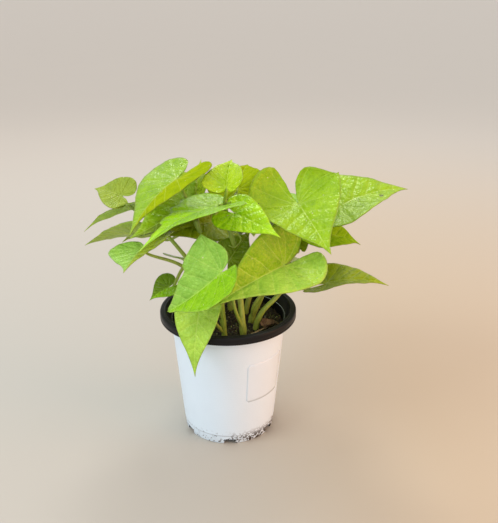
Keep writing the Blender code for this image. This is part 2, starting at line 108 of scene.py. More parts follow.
def add_step(tree, kind, inputs=None, **settings):
    """A new node with its settings and inputs filled. An input's value is a socket or a constant."""
    made = tree.nodes.new(kind)
    for label, value in settings.items():
        setattr(made, label, value)
    for label, value in (inputs or {}).items():
        if isinstance(value, bpy.types.NodeSocket):
            tree.links.new(value, made.inputs[label])
        else:
            made.inputs[label].default_value = value
    return made


def calc(tree, operation, *values):
    """One sum in a tree. Each value is a socket or a number."""
    return add_step(tree, "ShaderNodeMath", dict(enumerate(values)), operation=operation).outputs[0]


def times(tree, first, second):
    return calc(tree, "MULTIPLY", first, second)


def one_less(tree, value):
    return calc(tree, "SUBTRACT", 1.0, value)


def ramp(tree, value, low, high):
    """Nought below low, one above high and smooth between them."""
    ends = {"Value": value, "From Min": low, "From Max": high}
    return add_step(tree, "ShaderNodeMapRange", ends, interpolation_type="SMOOTHSTEP").outputs["Result"]


def mixed(tree, share, first, second, blend="MIX"):
    """Two colours mixed. Each one is a socket or red, green and blue."""
    first, second = ((*colour, 1.0) if isinstance(colour, tuple) else colour for colour in (first, second))
    settings = {"data_type": "RGBA", "blend_type": blend}
    return add_step(tree, "ShaderNodeMix", {0: share, 6: first, 7: second}, **settings).outputs[2]


def tinted(tree, colour, tint):
    return mixed(tree, 1.0, colour, tint, "MULTIPLY")


def darker(colour, share):
    return tuple(channel * share for channel in colour)


def mottle(tree, place, size, detail=3.0):
    """Cloudy pattern whose blots are about size metres across."""
    inputs = {"Scale": 1.0 / size, "Detail": detail, "Vector": place}
    return add_step(tree, "ShaderNodeTexNoise", inputs).outputs[0]


def grains(tree, place, size):
    """How far each point lies from the middle of its own grain, and that grain's random colour."""
    step = add_step(tree, "ShaderNodeTexVoronoi", {"Scale": 1.0 / size, "Vector": place})
    return step.outputs["Distance"], step.outputs["Color"]


def specks(tree, place, grain, size, level, axis=0, test="LESS_THAN"):
    """Round dots in some grains, size being a part of the grain. Level says how many grains."""
    far_middle, grain_colour = grains(tree, place, grain)
    chosen = calc(tree, test, part_of(tree, grain_colour, axis), level)
    return times(tree, calc(tree, "LESS_THAN", far_middle, size), chosen)


def relief(tree, shader, height, depth):
    """Raised and sunk places as shading, depth in metres."""
    step = add_step(tree, "ShaderNodeBump", {"Distance": depth, "Height": height})
    tree.links.new(step.outputs["Normal"], shader.inputs["Normal"])


def roughen(tree, shader, pattern, least, more):
    """Roughness that rises from least by up to more, where the pattern is strong."""
    tree.links.new(calc(tree, "MULTIPLY_ADD", pattern, more, least), shader.inputs["Roughness"])


def finish_start(name):
    """A new material with its tree, shader and Object coordinates."""
    made = bpy.data.materials.new(name)
    made.use_nodes = True
    tree = made.node_tree
    place = tree.nodes.new("ShaderNodeTexCoord").outputs["Object"]
    return made, tree, tree.nodes["Principled BSDF"], place


def part_of(tree, vector, axis):
    """One number of a vector: 0, 1 or 2."""
    return add_step(tree, "ShaderNodeSeparateXYZ", {0: vector}).outputs[axis]


def from_axis(tree, place):
    """How far each point lies from the third axis."""
    first = part_of(tree, place, 0)
    second = part_of(tree, place, 1)
    return calc(tree, "SQRT", calc(tree, "MULTIPLY_ADD", first, first, times(tree, second, second)))


def pot_dirt_and_crease_shade(tree, place):
    """Smears and flecks of soil near the foot and a few stray specks, with painted shade in a ring along
    the crease.
    """
    height = part_of(tree, place, 2)
    low = one_less(tree, ramp(tree, height, 0.002, 0.013))
    smear = ramp(tree, mottle(tree, place, 0.006, 6.0), 0.52, 0.70)
    to_right = times(tree, ramp(tree, part_of(tree, place, 0), -0.02, 0.03), 0.15)
    flecks = ramp(tree, calc(tree, "ADD", mottle(tree, place, 0.0022, 6.0), to_right), 0.60, 0.63)
    # Painted shade: an even dark ring along the crease, where the wall steps out over the foot.
    crease = calc(tree, "ABSOLUTE", calc(tree, "SUBTRACT", height, (CREASE_HEIGHT + 0.4) * MM))
    crease = one_less(tree, ramp(tree, crease, 0.0002, 0.0006))
    dirt_and_shade = calc(tree, "MAXIMUM", times(tree, smear, 0.22), flecks)
    dirt_and_shade = calc(tree, "MAXIMUM", times(tree, low, dirt_and_shade), times(tree, crease, 0.35))
    return calc(tree, "MAXIMUM", dirt_and_shade, specks(tree, place, 0.012, 0.045, 0.80, test="GREATER_THAN"))


def pot_plastic():
    """White outside and black inside and on the rim, with soil marks near the foot and painted shade along
    the crease.
    """
    made, tree, shader, place = finish_start("two_colour_plastic")
    height = part_of(tree, place, 2)
    slope = (WALL_TOP_RADIUS - FOOT_RADIUS - CREASE_STEP) / (WALL_TOP - CREASE_HEIGHT - CREASE_RISE)
    foot = (FOOT_RADIUS + 0.15 - slope * (CREASE_HEIGHT + CREASE_RISE)) * MM
    middle = calc(tree, "MULTIPLY_ADD", height, slope, foot)
    inside = calc(tree, "LESS_THAN", from_axis(tree, place), middle)
    above_foot = calc(tree, "GREATER_THAN", height, 0.5 * MM)
    band = calc(tree, "GREATER_THAN", height, (BAND_LOW - 0.5) * MM)
    black = calc(tree, "MAXIMUM", times(tree, inside, above_foot), band)
    white = mixed(tree, mottle(tree, place, 0.03), POT_WHITE, darker(POT_WHITE, 0.94))
    outside = mixed(tree, pot_dirt_and_crease_shade(tree, place), white, POT_DIRT_AND_SHADE)
    tree.links.new(mixed(tree, black, outside, POT_BLACK), shader.inputs["Base Color"])
    roughen(tree, shader, mottle(tree, place, 0.004), 0.26, 0.16)
    shader.inputs["Specular IOR Level"].default_value = 0.12
    rings = calc(tree, "SINE", times(tree, height, 2.0 * math.pi / MOULD_RING))
    grain = calc(tree, "ADD", mottle(tree, place, 0.0012), times(tree, rings, 0.25))
    relief(tree, shader, grain, 0.00006)
    return made


def solid(name, points, faces, finish=None):
    """A smoothly shaded mesh object. Points are in mm."""
    mesh = bpy.data.meshes.new(name)
    mesh.from_pydata([Vector(point) * MM for point in points], [], faces)
    mesh.update()
    mesh.polygons.foreach_set("use_smooth", [True] * len(mesh.polygons))
    if finish is not None:
        mesh.materials.append(finish)
    made = bpy.data.objects.new(name, mesh)
    bpy.context.scene.collection.objects.link(made)
    return made


def round_points(radius, height, sides):
    """Points evenly round the upright axis."""
    turns = [2.0 * math.pi * side / sides for side in range(sides)]
    return [(radius * math.cos(turn), radius * math.sin(turn), height) for turn in turns]


def joined(rings):
    """Faces between each ring of point numbers and the next. A ring may be a single point."""
    faces = []
    for low, high in zip(rings, rings[1:]):
        sides = max(len(low), len(high))
        for side in range(sides):
            after = (side + 1) % sides
            if len(low) == 1:
                faces.append((low[0], high[after], high[side]))
            elif len(high) == 1:
                faces.append((low[side], low[after], high[0]))
            else:
                faces.append((low[side], low[after], high[after], high[side]))
    return faces


def turned(name, profile, sides, finish):
    """Closed solid of revolution. The profile starts and ends on the axis, foot first."""
    points = []
    rings = []
    for radius, height in profile:
        first = len(points)
        points += round_points(radius, height, 1 if radius == 0.0 else sides)
        rings.append(list(range(first, len(points))))
    return solid(name, points, joined(rings), finish)


def cut_away(target, cutters):
    """Target with the cutters taken out of it, as plain geometry."""
    group = bpy.data.collections.new("cutters")
    bpy.context.scene.collection.children.link(group)
    for cutter in cutters:
        group.objects.link(cutter)
    step = target.modifiers.new("cut", "BOOLEAN")
    step.operation = "DIFFERENCE"
    step.operand_type = "COLLECTION"
    step.collection = group
    step.solver = "EXACT"
    bpy.context.view_layer.update()
    graph = bpy.context.evaluated_depsgraph_get()
    shape = bpy.data.meshes.new_from_object(target.evaluated_get(graph))
    target.modifiers.remove(step)
    target.data = shape
    for cutter in cutters:
        bpy.data.objects.remove(cutter, do_unlink=True)
    bpy.data.collections.remove(group)


def prism(name, corners, low, high):
    """Upright block over the given corners, which run anticlockwise seen from above."""
    count = len(corners)
    points = [(x, y, low) for x, y in corners] + [(x, y, high) for x, y in corners]
    faces = [tuple(reversed(range(count))), tuple(range(count, 2 * count))]
    for corner in range(count):
        after = (corner + 1) % count
        faces.append((corner, after, count + after, count + corner))
    return solid(name, points, faces)


def foot_cutters():
    """Blocks for the notches between wall and foot, the first at the front, and the drain holes."""
    made = []
    for number in range(NOTCHES):
        turn = math.radians(-90.0 + 360.0 * number / NOTCHES)
        outward = Vector((math.cos(turn), math.sin(turn)))
        sideways = Vector((-math.sin(turn), math.cos(turn))) * NOTCH_WIDTH / 2.0
        near = outward * NOTCH_INNER
        far = outward * NOTCH_OUTER
        corners = [near - sideways, far - sideways, far + sideways, near + sideways]
        made.append(prism("notch_cutter", corners, -1.0, NOTCH_HEIGHT))
    for number in range(DRAIN_HOLES):
        turn = math.radians(45.0 + 360.0 * number / DRAIN_HOLES)
        centre = Vector((math.cos(turn), math.sin(turn))) * DRAIN_CIRCLE
        corners = [centre + Vector((x, y)) for x, y, _ in round_points(DRAIN_RADIUS, 0.0, DRAIN_SIDES)]
        made.append(prism("drain_cutter", corners, -1.0, 3.0))
    return made


pot_profile = [
    (0.0, 0.0),
    (FOOT_RADIUS - 1.2, 0.0),
    (FOOT_RADIUS - 0.6, 0.2),
    (FOOT_RADIUS - 0.2, 0.8),
    (FOOT_RADIUS + 0.2, CREASE_HEIGHT - 0.3),
    (FOOT_RADIUS + 0.3, CREASE_HEIGHT),
    (FOOT_RADIUS + CREASE_STEP, CREASE_HEIGHT + CREASE_RISE),
    (WALL_FOOT_RADIUS, WALL_FOOT),
    (WALL_BEND_RADIUS, WALL_BEND),
    (WALL_TOP_RADIUS, WALL_TOP),
    (WALL_TOP_RADIUS + 2.9, BAND_LOW + 0.9),
    (MOUTH_RADIUS + 1.1, RIM_TOP - RIM_SKIN - 0.8),
    (RIM_RADIUS - RIM_SKIN - 0.6, RIM_TOP - RIM_SKIN),
    (RIM_RADIUS - RIM_SKIN, RIM_TOP - RIM_SKIN - 0.6),
    (RIM_RADIUS - RIM_SKIN, BAND_LOW),
    (RIM_RADIUS - 0.2, BAND_LOW),
    (RIM_RADIUS, BAND_LOW + 0.3),
    (RIM_RADIUS, BAND_LOW + 1.6),
    (RIM_RADIUS - 0.15, BAND_LOW + 1.9),
    (RIM_RADIUS, BAND_LOW + 2.2),
    (RIM_RADIUS, RIM_TOP - 1.2),
    (RIM_RADIUS - 0.2, RIM_TOP - 0.5),
    (RIM_RADIUS - 0.6, RIM_TOP - 0.1),
    (RIM_RADIUS - 1.1, RIM_TOP),
    (MOUTH_RADIUS + 2.4, RIM_TOP),
    (MOUTH_RADIUS + 2.2, RIM_TOP - 0.15),
    (MOUTH_RADIUS + 1.9, RIM_TOP),
    (MOUTH_RADIUS + 0.8, RIM_TOP),
    (MOUTH_RADIUS + 0.2, RIM_TOP - 0.25),
    (MOUTH_RADIUS, RIM_TOP - 0.8),
    (MOUTH_RADIUS - 1.6, BAND_LOW + 1.8),
    (WALL_TOP_RADIUS - WALL, WALL_TOP + 0.4),
    (WALL_BEND_RADIUS - WALL, WALL_BEND),
    (FOOT_RADIUS + CREASE_STEP - WALL, CREASE_HEIGHT + CREASE_RISE),
    (FOOT_RADIUS - WALL - 0.4, 1.8),
    (FOOT_RADIUS - WALL - 1.4, WALL),
    (0.0, WALL),
]
pot_shell = turned("pot_shell", pot_profile, POT_SIDES, pot_plastic())
cut_away(pot_shell, foot_cutters())
pot_shell.data.set_sharp_from_angle(angle=math.radians(32.0))
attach(pot_shell, "root")
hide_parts("pot")

# Blank sticker
# A rectangle of clear film stuck round the front right of the wall, a little glossier than
# the plastic under it. It carries nothing.

STICKER_FROM = -71.0          # degrees round the pot, the front being at -90
STICKER_TO = -20.0
STICKER_LOW = 38.0
STICKER_HIGH = 72.0
STICKER_CORNER = 2.0
STICKER_LIFT = 0.03
STICKER_THICK = 0.06
STICKER_COLUMNS = 28
STICKER_ROWS = 16
STICKER_COLOUR = (0.77, 0.87, 0.97)


def sticker_film():
    """Clear film over white plastic, slightly uneven where it was smoothed down."""
    made, tree, shader, place = finish_start("clear_film")
    tone = mixed(tree, mottle(tree, place, 0.012), STICKER_COLOUR, darker(STICKER_COLOUR, 0.95))
    tree.links.new(tone, shader.inputs["Base Color"])
    roughen(tree, shader, mottle(tree, place, 0.003), 0.14, 0.12)
    relief(tree, shader, mottle(tree, place, 0.008), 0.0001)
    return made


def wall_reach(height):
    """Radius of the wall's outside at a height above the crease."""
    low, high = (WALL_FOOT_RADIUS, WALL_FOOT), (WALL_BEND_RADIUS, WALL_BEND)
    if height > WALL_BEND:
        low, high = high, (WALL_TOP_RADIUS, WALL_TOP)
    return low[0] + (high[0] - low[0]) * (height - low[1]) / (high[1] - low[1])


def sticker_sheet():
    """Thin closed sheet bent round the wall, its corners rounded."""
    points = []
    for lift in (STICKER_LIFT, STICKER_LIFT + STICKER_THICK):
        for row in range(STICKER_ROWS + 1):
            height = STICKER_LOW + (STICKER_HIGH - STICKER_LOW) * row / STICKER_ROWS
            wall = wall_reach(height)
            edge = max(STICKER_CORNER - min(height - STICKER_LOW, STICKER_HIGH - height), 0.0)
            inset = STICKER_CORNER - math.sqrt(STICKER_CORNER ** 2 - edge ** 2)
            trim = math.degrees(inset / wall)
            sweep = STICKER_TO - STICKER_FROM - 2 * trim
            for column in range(STICKER_COLUMNS + 1):
                turn = math.radians(STICKER_FROM + trim + sweep * column / STICKER_COLUMNS)
                reach = wall + lift
                points.append((reach * math.cos(turn), reach * math.sin(turn), height))
    across = STICKER_COLUMNS + 1
    sheet = across * (STICKER_ROWS + 1)
    faces = []
    for row in range(STICKER_ROWS):
        for column in range(STICKER_COLUMNS):
            a = row * across + column
            b = a + across
            faces.append((a + sheet, a + 1 + sheet, b + 1 + sheet, b + sheet))
            faces.append((a, b, b + 1, a + 1))
    border = list(range(STICKER_COLUMNS))
    border += [row * across + STICKER_COLUMNS for row in range(STICKER_ROWS)]
    border += [STICKER_ROWS * across + column for column in range(STICKER_COLUMNS, 0, -1)]
    border += [row * across for row in range(STICKER_ROWS, 0, -1)]
    for start, end in zip(border, border[1:] + border[:1]):
        faces.append((start, end, end + sheet, start + sheet))
    return solid("blank_sticker", points, faces, sticker_film())


blank_sticker = sticker_sheet()
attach(blank_sticker, "root")
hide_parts("sticker")

# Soil
# A near black potting mix that fills the pot to a finger's width below the rim. Crumbs, bits
# of bark, a few white perlite grains and specks of moss lie loose on it.

SOIL_LEVEL = 89.0
SOIL_LUMPS = ((1.6, 0.09, 3.0), (1.3, 0.28, 7.0), (0.6, 0.8, 1.0))      # height, fineness, layer
SOIL_DISH = 0.02
SOIL_EDGE = 42.2
SOIL_SIDE = ((32.8, 1.2), (34.0, 2.3), (35.0, 7.5), (41.3, 86.0))       # radius and height
LUMP_FINENESS = 900.0
LUMP_DENT = 0.0013            # metres
SOIL_SIDES = 120
SOIL_RINGS = 44
SOIL_DARK = (0.024, 0.017, 0.011)
SOIL_BROWN = (0.085, 0.055, 0.030)
BARK_BROWN = (0.11, 0.062, 0.034)
PERLITE_SHADE = (0.30, 0.26, 0.20)
PERLITE_WHITE = (0.62, 0.58, 0.50)
MOSS_DARK = (0.075, 0.080, 0.022)
MOSS_PALE = (0.36, 0.38, 0.13)


def crumbly(name, dark, light, grain):
    """Matt broken stuff whose tone changes from one grain to the next."""
    made, tree, shader, place = finish_start(name)
    far_middle, grain_colour = grains(tree, place, grain)
    patch = times(tree, part_of(tree, grain_colour, 0), mottle(tree, place, grain * 4.0))
    tree.links.new(mixed(tree, ramp(tree, patch, 0.15, 0.60), dark, light), shader.inputs["Base Color"])
    roughen(tree, shader, mottle(tree, place, grain), 0.70, 0.3)
    relief(tree, shader, one_less(tree, far_middle), grain * 0.5)
    return made


def soil_top(x, y):
    """Height of the bed's rough surface, which is slightly dished."""
    top = SOIL_LEVEL - SOIL_DISH * (SOIL_EDGE - math.hypot(x, y))
    for rise, fineness, layer in SOIL_LUMPS:
        top += rise * noise.noise((x * fineness, y * fineness, layer))
    return top


def soil_bed():
    """Filling with a rough top, down to the pot's floor."""
    points = []
    rings = []
    surface = [(SOIL_EDGE * ring / SOIL_RINGS, None) for ring in range(SOIL_RINGS, 0, -1)]
    for radius, height in list(SOIL_SIDE) + surface:
        first = len(points)
        for x, y, _ in round_points(radius, 0.0, SOIL_SIDES):
            points.append((x, y, soil_top(x, y) if height is None else height))
        rings.append(list(range(first, len(points))))
    faces = joined(rings)
    foot = len(points)
    points += [(0.0, 0.0, SOIL_SIDE[0][1]), (0.0, 0.0, SOIL_LEVEL - 0.8)]
    faces += joined([[foot], rings[0]]) + joined([rings[-1], [foot + 1]])
    return solid("soil_bed", points, faces, crumbly("potting_mix", SOIL_DARK, SOIL_BROWN, 0.0016))


def geometry_tree(name, inputs):
    """A Geometry Nodes tree with one geometry in, one out and the named inputs."""
    tree = bpy.data.node_groups.new(name, "GeometryNodeTree")
    tree.interface.new_socket(name="Geometry", in_out="OUTPUT", socket_type="NodeSocketGeometry")
    tree.interface.new_socket(name="Geometry", in_out="INPUT", socket_type="NodeSocketGeometry")
    keys = {}
    for label, kind in inputs:
        socket = tree.interface.new_socket(name=label, in_out="INPUT", socket_type=kind)
        keys[label] = socket.identifier
    return tree, tree.nodes.new("NodeGroupInput"), tree.nodes.new("NodeGroupOutput"), keys


def grown(name, host, tree, keys, values):
    """What the tree makes from the host mesh, as a plain mesh object."""
    step = host.modifiers.new("grow", "NODES")
    step.node_group = tree
    for label, value in values.items():
        step[keys[label]] = value
    bpy.context.view_layer.update()
    graph = bpy.context.evaluated_depsgraph_get()
    shape = bpy.data.meshes.new_from_object(host.evaluated_get(graph))
    shape.name = name
    host.modifiers.remove(step)
    made = bpy.data.objects.new(name, shape)
    bpy.context.scene.collection.objects.link(made)
    return made


def crumb_tree():
    """Scatters rough lumps over the faces that look up."""
    tree, enter, leave, keys = geometry_tree("loose_crumbs", [
        ("Crumbs per Square Metre", "NodeSocketFloat"),
        ("Smallest", "NodeSocketVector"),
        ("Largest", "NodeSocketVector"),
        ("Seed", "NodeSocketInt"),
        ("Finish", "NodeSocketMaterial"),
    ])
    given = enter.outputs
    normal = add_step(tree, "GeometryNodeInputNormal").outputs[0]
    spread = add_step(tree, "GeometryNodeDistributePointsOnFaces", {
        "Mesh": given["Geometry"],
        "Selection": calc(tree, "GREATER_THAN", part_of(tree, normal, 2), 0.6),
        "Density": given["Crumbs per Square Metre"],
        "Seed": given["Seed"],
    })
    lump = add_step(tree, "GeometryNodeMeshIcoSphere", {"Radius": 1.0, "Subdivisions": 1})
    size = add_step(tree, "FunctionNodeRandomValue", {
        0: given["Smallest"],
        1: given["Largest"],
        "Seed": given["Seed"],
    }, data_type="FLOAT_VECTOR")
    full_turns = {1: (6.28, 6.28, 6.28), "Seed": 11}
    swing = add_step(tree, "FunctionNodeRandomValue", full_turns, data_type="FLOAT_VECTOR")
    placed = add_step(tree, "GeometryNodeInstanceOnPoints", {
        "Points": spread.outputs["Points"],
        "Instance": lump.outputs["Mesh"],
        "Rotation": swing.outputs[0],
        "Scale": size.outputs[0],
    })
    real = add_step(tree, "GeometryNodeRealizeInstances", {"Geometry": placed.outputs["Instances"]})
    cloud = add_step(tree, "ShaderNodeTexNoise", {"Scale": LUMP_FINENESS}).outputs["Color"]
    around = {0: cloud, 1: (0.5, 0.5, 0.5)}
    around = add_step(tree, "ShaderNodeVectorMath", around, operation="SUBTRACT").outputs[0]
    dent = {0: around, "Scale": LUMP_DENT}
    shift = add_step(tree, "GeometryNodeSetPosition", {
        "Geometry": real.outputs["Geometry"],
        "Offset": add_step(tree, "ShaderNodeVectorMath", dent, operation="SCALE").outputs[0],
    })
    paint = add_step(tree, "GeometryNodeSetMaterial", {
        "Geometry": shift.outputs["Geometry"],
        "Material": given["Finish"],
    })
    tree.links.new(paint.outputs["Geometry"], leave.inputs["Geometry"])
    return tree, keys


bed = soil_bed()
crumbs, crumb_keys = crumb_tree()


def scattered(name, crowding, smallest, largest, seed, finish):
    """Loose bits of one kind on the bed. Their sizes are half measures in metres."""
    return grown(name, bed, crumbs, crumb_keys, {
        "Crumbs per Square Metre": crowding,
        "Smallest": smallest,
        "Largest": largest,
        "Seed": seed,
        "Finish": finish,
    })


soil_pieces = [
    bed,
    scattered("soil_crumbs", 130000.0, (0.0005, 0.0005, 0.0004), (0.0017, 0.0015, 0.0012), 4,
              crumbly("soil_crumb", SOIL_DARK, SOIL_BROWN, 0.0009)),
    scattered("bark_bits", 9000.0, (0.0014, 0.0006, 0.0004), (0.0042, 0.0014, 0.0008), 9,
              crumbly("bark", SOIL_BROWN, BARK_BROWN, 0.0011)),
    scattered("perlite_grains", 7000.0, (0.0004, 0.0004, 0.0004), (0.0011, 0.0010, 0.0009), 21,
              crumbly("perlite", PERLITE_SHADE, PERLITE_WHITE, 0.0008)),
    scattered("mossy_crumbs", 80000.0, (0.0005, 0.0005, 0.0004), (0.0016, 0.0012, 0.0009), 33,
              crumbly("moss", MOSS_DARK, MOSS_PALE, 0.0008)),
]
for piece in soil_pieces:
    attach(piece, "root")
    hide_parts("soil")

# Top stem
# A thick rooted stem that rises from near the front to the middle of the crown, whose leaves
# it carries on long stalks. Stem and stalks are living tissue grown as one piece, and the blades are a
# second piece.

ROOT_DEPTH = 20.0
STEM_STEPS = 10               # points on each stretch of a stem
STEM_TAPER = 0.4
JOINT_SWELL = 0.22            # how much a stem thickens at a joint, and over what share of it
JOINT_LENGTH = 0.03
TUBE_SIDES = 12
STALK_RADIUS = 1.1
STALK_STEPS = 16
BLADE_THICK = 0.45
BLADE_RAYS = 30               # outline points on each half of a blade
BLADE_RINGS = 10
LOBE_REACH = 0.41
HALF_WIDTH = 0.57
HALF_OUTLINE = (
    (1.00, 0.000), (0.86, 0.045), (0.70, 0.140), (0.48, 0.320), (0.22, 0.490),
    (-0.05, 0.570), (-0.28, 0.500), (-0.41, 0.340), (-0.40, 0.170), (-0.24, 0.055),
)

# Leaf and stem colours.
YELLOW_LIME = (0.50, 0.70, 0.012)
BRIGHT_LIME = (0.345, 0.55, 0.010)
PALE_LIME = (0.33, 0.60, 0.080)
FRESH_GREEN = (0.32, 0.62, 0.008)
YELLOW_OLIVE = (0.35, 0.44, 0.006)
OLIVE = (0.33, 0.42, 0.030)
PALE_OLIVE = (0.50, 0.68, 0.12)
# Painted light: a lighter copy of the pale olive for a leaf that faces away from the lamps.
PAINTED_SUNLIT_OLIVE = (0.68, 0.90, 0.14)
LEAF_GREEN = (0.29, 0.49, 0.010)
# Painted light: a lighter green for two crown leaves that lie in shade, as if light shone through them.
PAINTED_SUNLIT_GREEN = (0.45, 0.80, 0.008)
SUN_LIME = (0.47, 0.72, 0.080)
# Painted shade: a darker copy of the olive for leaves and halves that lie in shade.
PAINTED_SHADE_OLIVE = (0.21, 0.30, 0.006)
# Painted shade: a darker green for a leaf half that lies in shade.
PAINTED_SHADE_GREEN = (0.18, 0.33, 0.008)
STEM_PALE = (0.44, 0.48, 0.08)
STEM_GREEN = (0.34, 0.48, 0.06)

# What lies over those colours. Tints multiply them.
CLOUD_TINT = (0.66, 0.76, 0.62)
PORE_TINT = (0.88, 0.90, 0.84)
STREAK_TINT = (0.72, 0.78, 0.66)
WAX_TINT = (0.88, 1.0, 0.50, 1.0)
VEIN_PALE = (0.72, 0.80, 0.22)
SPECK_PALE = (0.60, 0.60, 0.34)
SPOT_BROWN = (0.050, 0.035, 0.012)
EDGE_DRY = (0.42, 0.44, 0.10)
UNDER_CHALK = (0.46, 0.58, 0.10)
STEM_BLOT = (0.20, 0.15, 0.05)

# The veins' layout, in parts of the blade's length and in radians.
VEIN_SPACING = 0.19
VEIN_FAN = 0.27
VEIN_NET = 24.0               # meshes of the fine net along the blade


def vein_group():
    """Where the veins of a heart-shaped blade run, from its own place along and across."""
    group = bpy.data.node_groups.new("leaf_veins", "ShaderNodeTree")
    group.interface.new_socket(name="Blade", in_out="INPUT", socket_type="NodeSocketVector")
    group.interface.new_socket(name="Veins", in_out="OUTPUT", socket_type="NodeSocketFloat")
    group.interface.new_socket(name="Quilt", in_out="OUTPUT", socket_type="NodeSocketFloat")
    blade = group.nodes.new("NodeGroupInput").outputs["Blade"]
    leave = group.nodes.new("NodeGroupOutput")
    along = part_of(group, blade, 0)
    across = calc(group, "ABSOLUTE", part_of(group, blade, 1))
    stray = times(group, calc(group, "SUBTRACT", mottle(group, blade, 0.22), 0.5), 0.07)
    bent = calc(group, "MULTIPLY_ADD", across, 0.62, times(group, times(group, across, across), 0.45))
    start = calc(group, "ADD", calc(group, "SUBTRACT", along, bent), stray)
    lateral = calc(group, "PINGPONG", start, VEIN_SPACING / 2.0)
    swing = calc(group, "ADD", calc(group, "ARCTAN2", across, along), stray)
    radial = times(group, calc(group, "PINGPONG", swing, VEIN_FAN), from_axis(group, blade))
    behind = calc(group, "LESS_THAN", start, 0.0)
    ahead = one_less(group, behind)
    side_gap = calc(group, "MULTIPLY_ADD", radial, behind, times(group, lateral, ahead))
    side_width = times(group, calc(group, "SUBTRACT", 0.75, across), 0.016)
    side_veins = one_less(group, ramp(group, calc(group, "DIVIDE", side_gap, side_width), 0.3, 1.0))
    rib_width = times(group, calc(group, "SUBTRACT", 1.15, along), 0.013)
    rib = one_less(group, ramp(group, calc(group, "DIVIDE", across, rib_width), 0.4, 1.0))
    rib = times(group, rib, calc(group, "GREATER_THAN", along, 0.0))
    net_inputs = {"Scale": VEIN_NET, "Vector": blade}
    net = add_step(group, "ShaderNodeTexVoronoi", net_inputs, feature="DISTANCE_TO_EDGE")
    net_gap = net.outputs["Distance"]
    fine = one_less(group, ramp(group, net_gap, 0.0, 0.09))
    veins = calc(group, "MAXIMUM", rib, times(group, side_veins, 0.7))
    group.links.new(calc(group, "MAXIMUM", veins, times(group, fine, 0.16)), leave.inputs["Veins"])
    swell = times(group, ramp(group, side_gap, 0.0, 0.06), ramp(group, across, 0.0, 0.05))
    quilt = calc(group, "MULTIPLY_ADD", ramp(group, net_gap, 0.0, 0.3), 0.22, swell)
    group.links.new(quilt, leave.inputs["Quilt"])
    return group


def attribute(tree, name, output):
    return add_step(tree, "ShaderNodeAttribute", attribute_name=name).outputs[output]


def leaf_tone(tree, place, colour, vein):
    """The blade's own colour, clouded, blotched and finely dotted, with paler veins."""
    deeper = tinted(tree, colour, CLOUD_TINT)
    cloud = ramp(tree, mottle(tree, place, 0.009, 5.0), 0.38, 0.68)
    tone = mixed(tree, times(tree, cloud, 0.6), colour, deeper)
    blotch = ramp(tree, mottle(tree, place, 0.0042, 3.0), 0.50, 0.66)
    tone = mixed(tree, times(tree, blotch, 0.35), tone, deeper)
    pores = ramp(tree, mottle(tree, place, 0.0012, 2.0), 0.42, 0.62)
    tone = mixed(tree, pores, tinted(tree, tone, PORE_TINT), tone)
    return mixed(tree, times(tree, vein, 0.6), tone, mixed(tree, 0.40, tone, VEIN_PALE))


def leaf_wear(tree, place, tone, marks):
    """The tone with pale specks, dark freckles, brown spots and a dry rim."""
    wear = part_of(tree, marks, 1)
    tone = mixed(tree, specks(tree, place, 0.0042, 0.11, wear), tone, SPECK_PALE)
    freckle = specks(tree, place, 0.0075, 0.07, times(tree, wear, 0.5), axis=1)
    freckle = calc(tree, "MAXIMUM", freckle, ramp(tree, part_of(tree, marks, 2), 0.35, 0.65))
    tone = mixed(tree, times(tree, freckle, 0.85), tone, SPOT_BROWN)
    rim = ramp(tree, part_of(tree, marks, 0), 0.955, 1.0)
    return mixed(tree, times(tree, rim, 0.25), tone, EDGE_DRY)


def leaf_skin(veins):
    """Waxy quilted leaf, a little paler and duller underneath. Its colour's fourth number is
    its waxiness."""
    made, tree, shader, place = finish_start("leaf_skin")
    blade = attribute(tree, "blade_place", "Vector")
    under = part_of(tree, blade, 2)
    pattern = add_step(tree, "ShaderNodeGroup", node_tree=veins)
    tree.links.new(blade, pattern.inputs["Blade"])
    tone = leaf_tone(tree, place, attribute(tree, "leaf_colour", "Color"), pattern.outputs["Veins"])
    tone = leaf_wear(tree, place, tone, attribute(tree, "leaf_marks", "Vector"))
    chalk = mixed(tree, 0.10, tone, UNDER_CHALK)
    tree.links.new(mixed(tree, under, tone, chalk), shader.inputs["Base Color"])
    upper_rough = calc(tree, "MULTIPLY_ADD", mottle(tree, place, 0.005), 0.16, 0.17)
    roughen(tree, shader, under, upper_rough, 0.14)
    wax = attribute(tree, "leaf_colour", "Alpha")
    gloss = times(tree, calc(tree, "MULTIPLY_ADD", under, -0.28, 0.38), wax)
    tree.links.new(gloss, shader.inputs["Specular IOR Level"])
    shader.inputs["Specular Tint"].default_value = WAX_TINT
    facing = calc(tree, "MULTIPLY_ADD", under, -2.0, 1.0)
    crinkle = times(tree, mottle(tree, place, 0.0030, 2.0), 2.4)
    height = calc(tree, "MULTIPLY_ADD", pattern.outputs["Quilt"], facing, crinkle)
    relief(tree, shader, height, 0.0005)
    return made


def stem_skin():
    """Smooth pale tissue, yellower low down and greener where it is young, finely streaked."""
    made, tree, shader, place = finish_start("stem_skin")
    stretch = add_step(tree, "ShaderNodeMapping", {"Vector": place, "Scale": (1.0, 1.0, 0.12)})
    streak = mottle(tree, stretch.outputs[0], 0.0008, 3.0)
    base = mixed(tree, attribute(tree, "growth", "Fac"), STEM_PALE, STEM_GREEN)
    tone = mixed(tree, ramp(tree, streak, 0.40, 0.65), base, tinted(tree, base, STREAK_TINT))
    blot = ramp(tree, mottle(tree, place, 0.006, 4.0), 0.60, 0.74)
    tone = mixed(tree, times(tree, blot, 0.6), tone, STEM_BLOT)
    tree.links.new(tone, shader.inputs["Base Color"])
    roughen(tree, shader, streak, 0.28, 0.2)
    relief(tree, shader, streak, 0.00015)
    return made


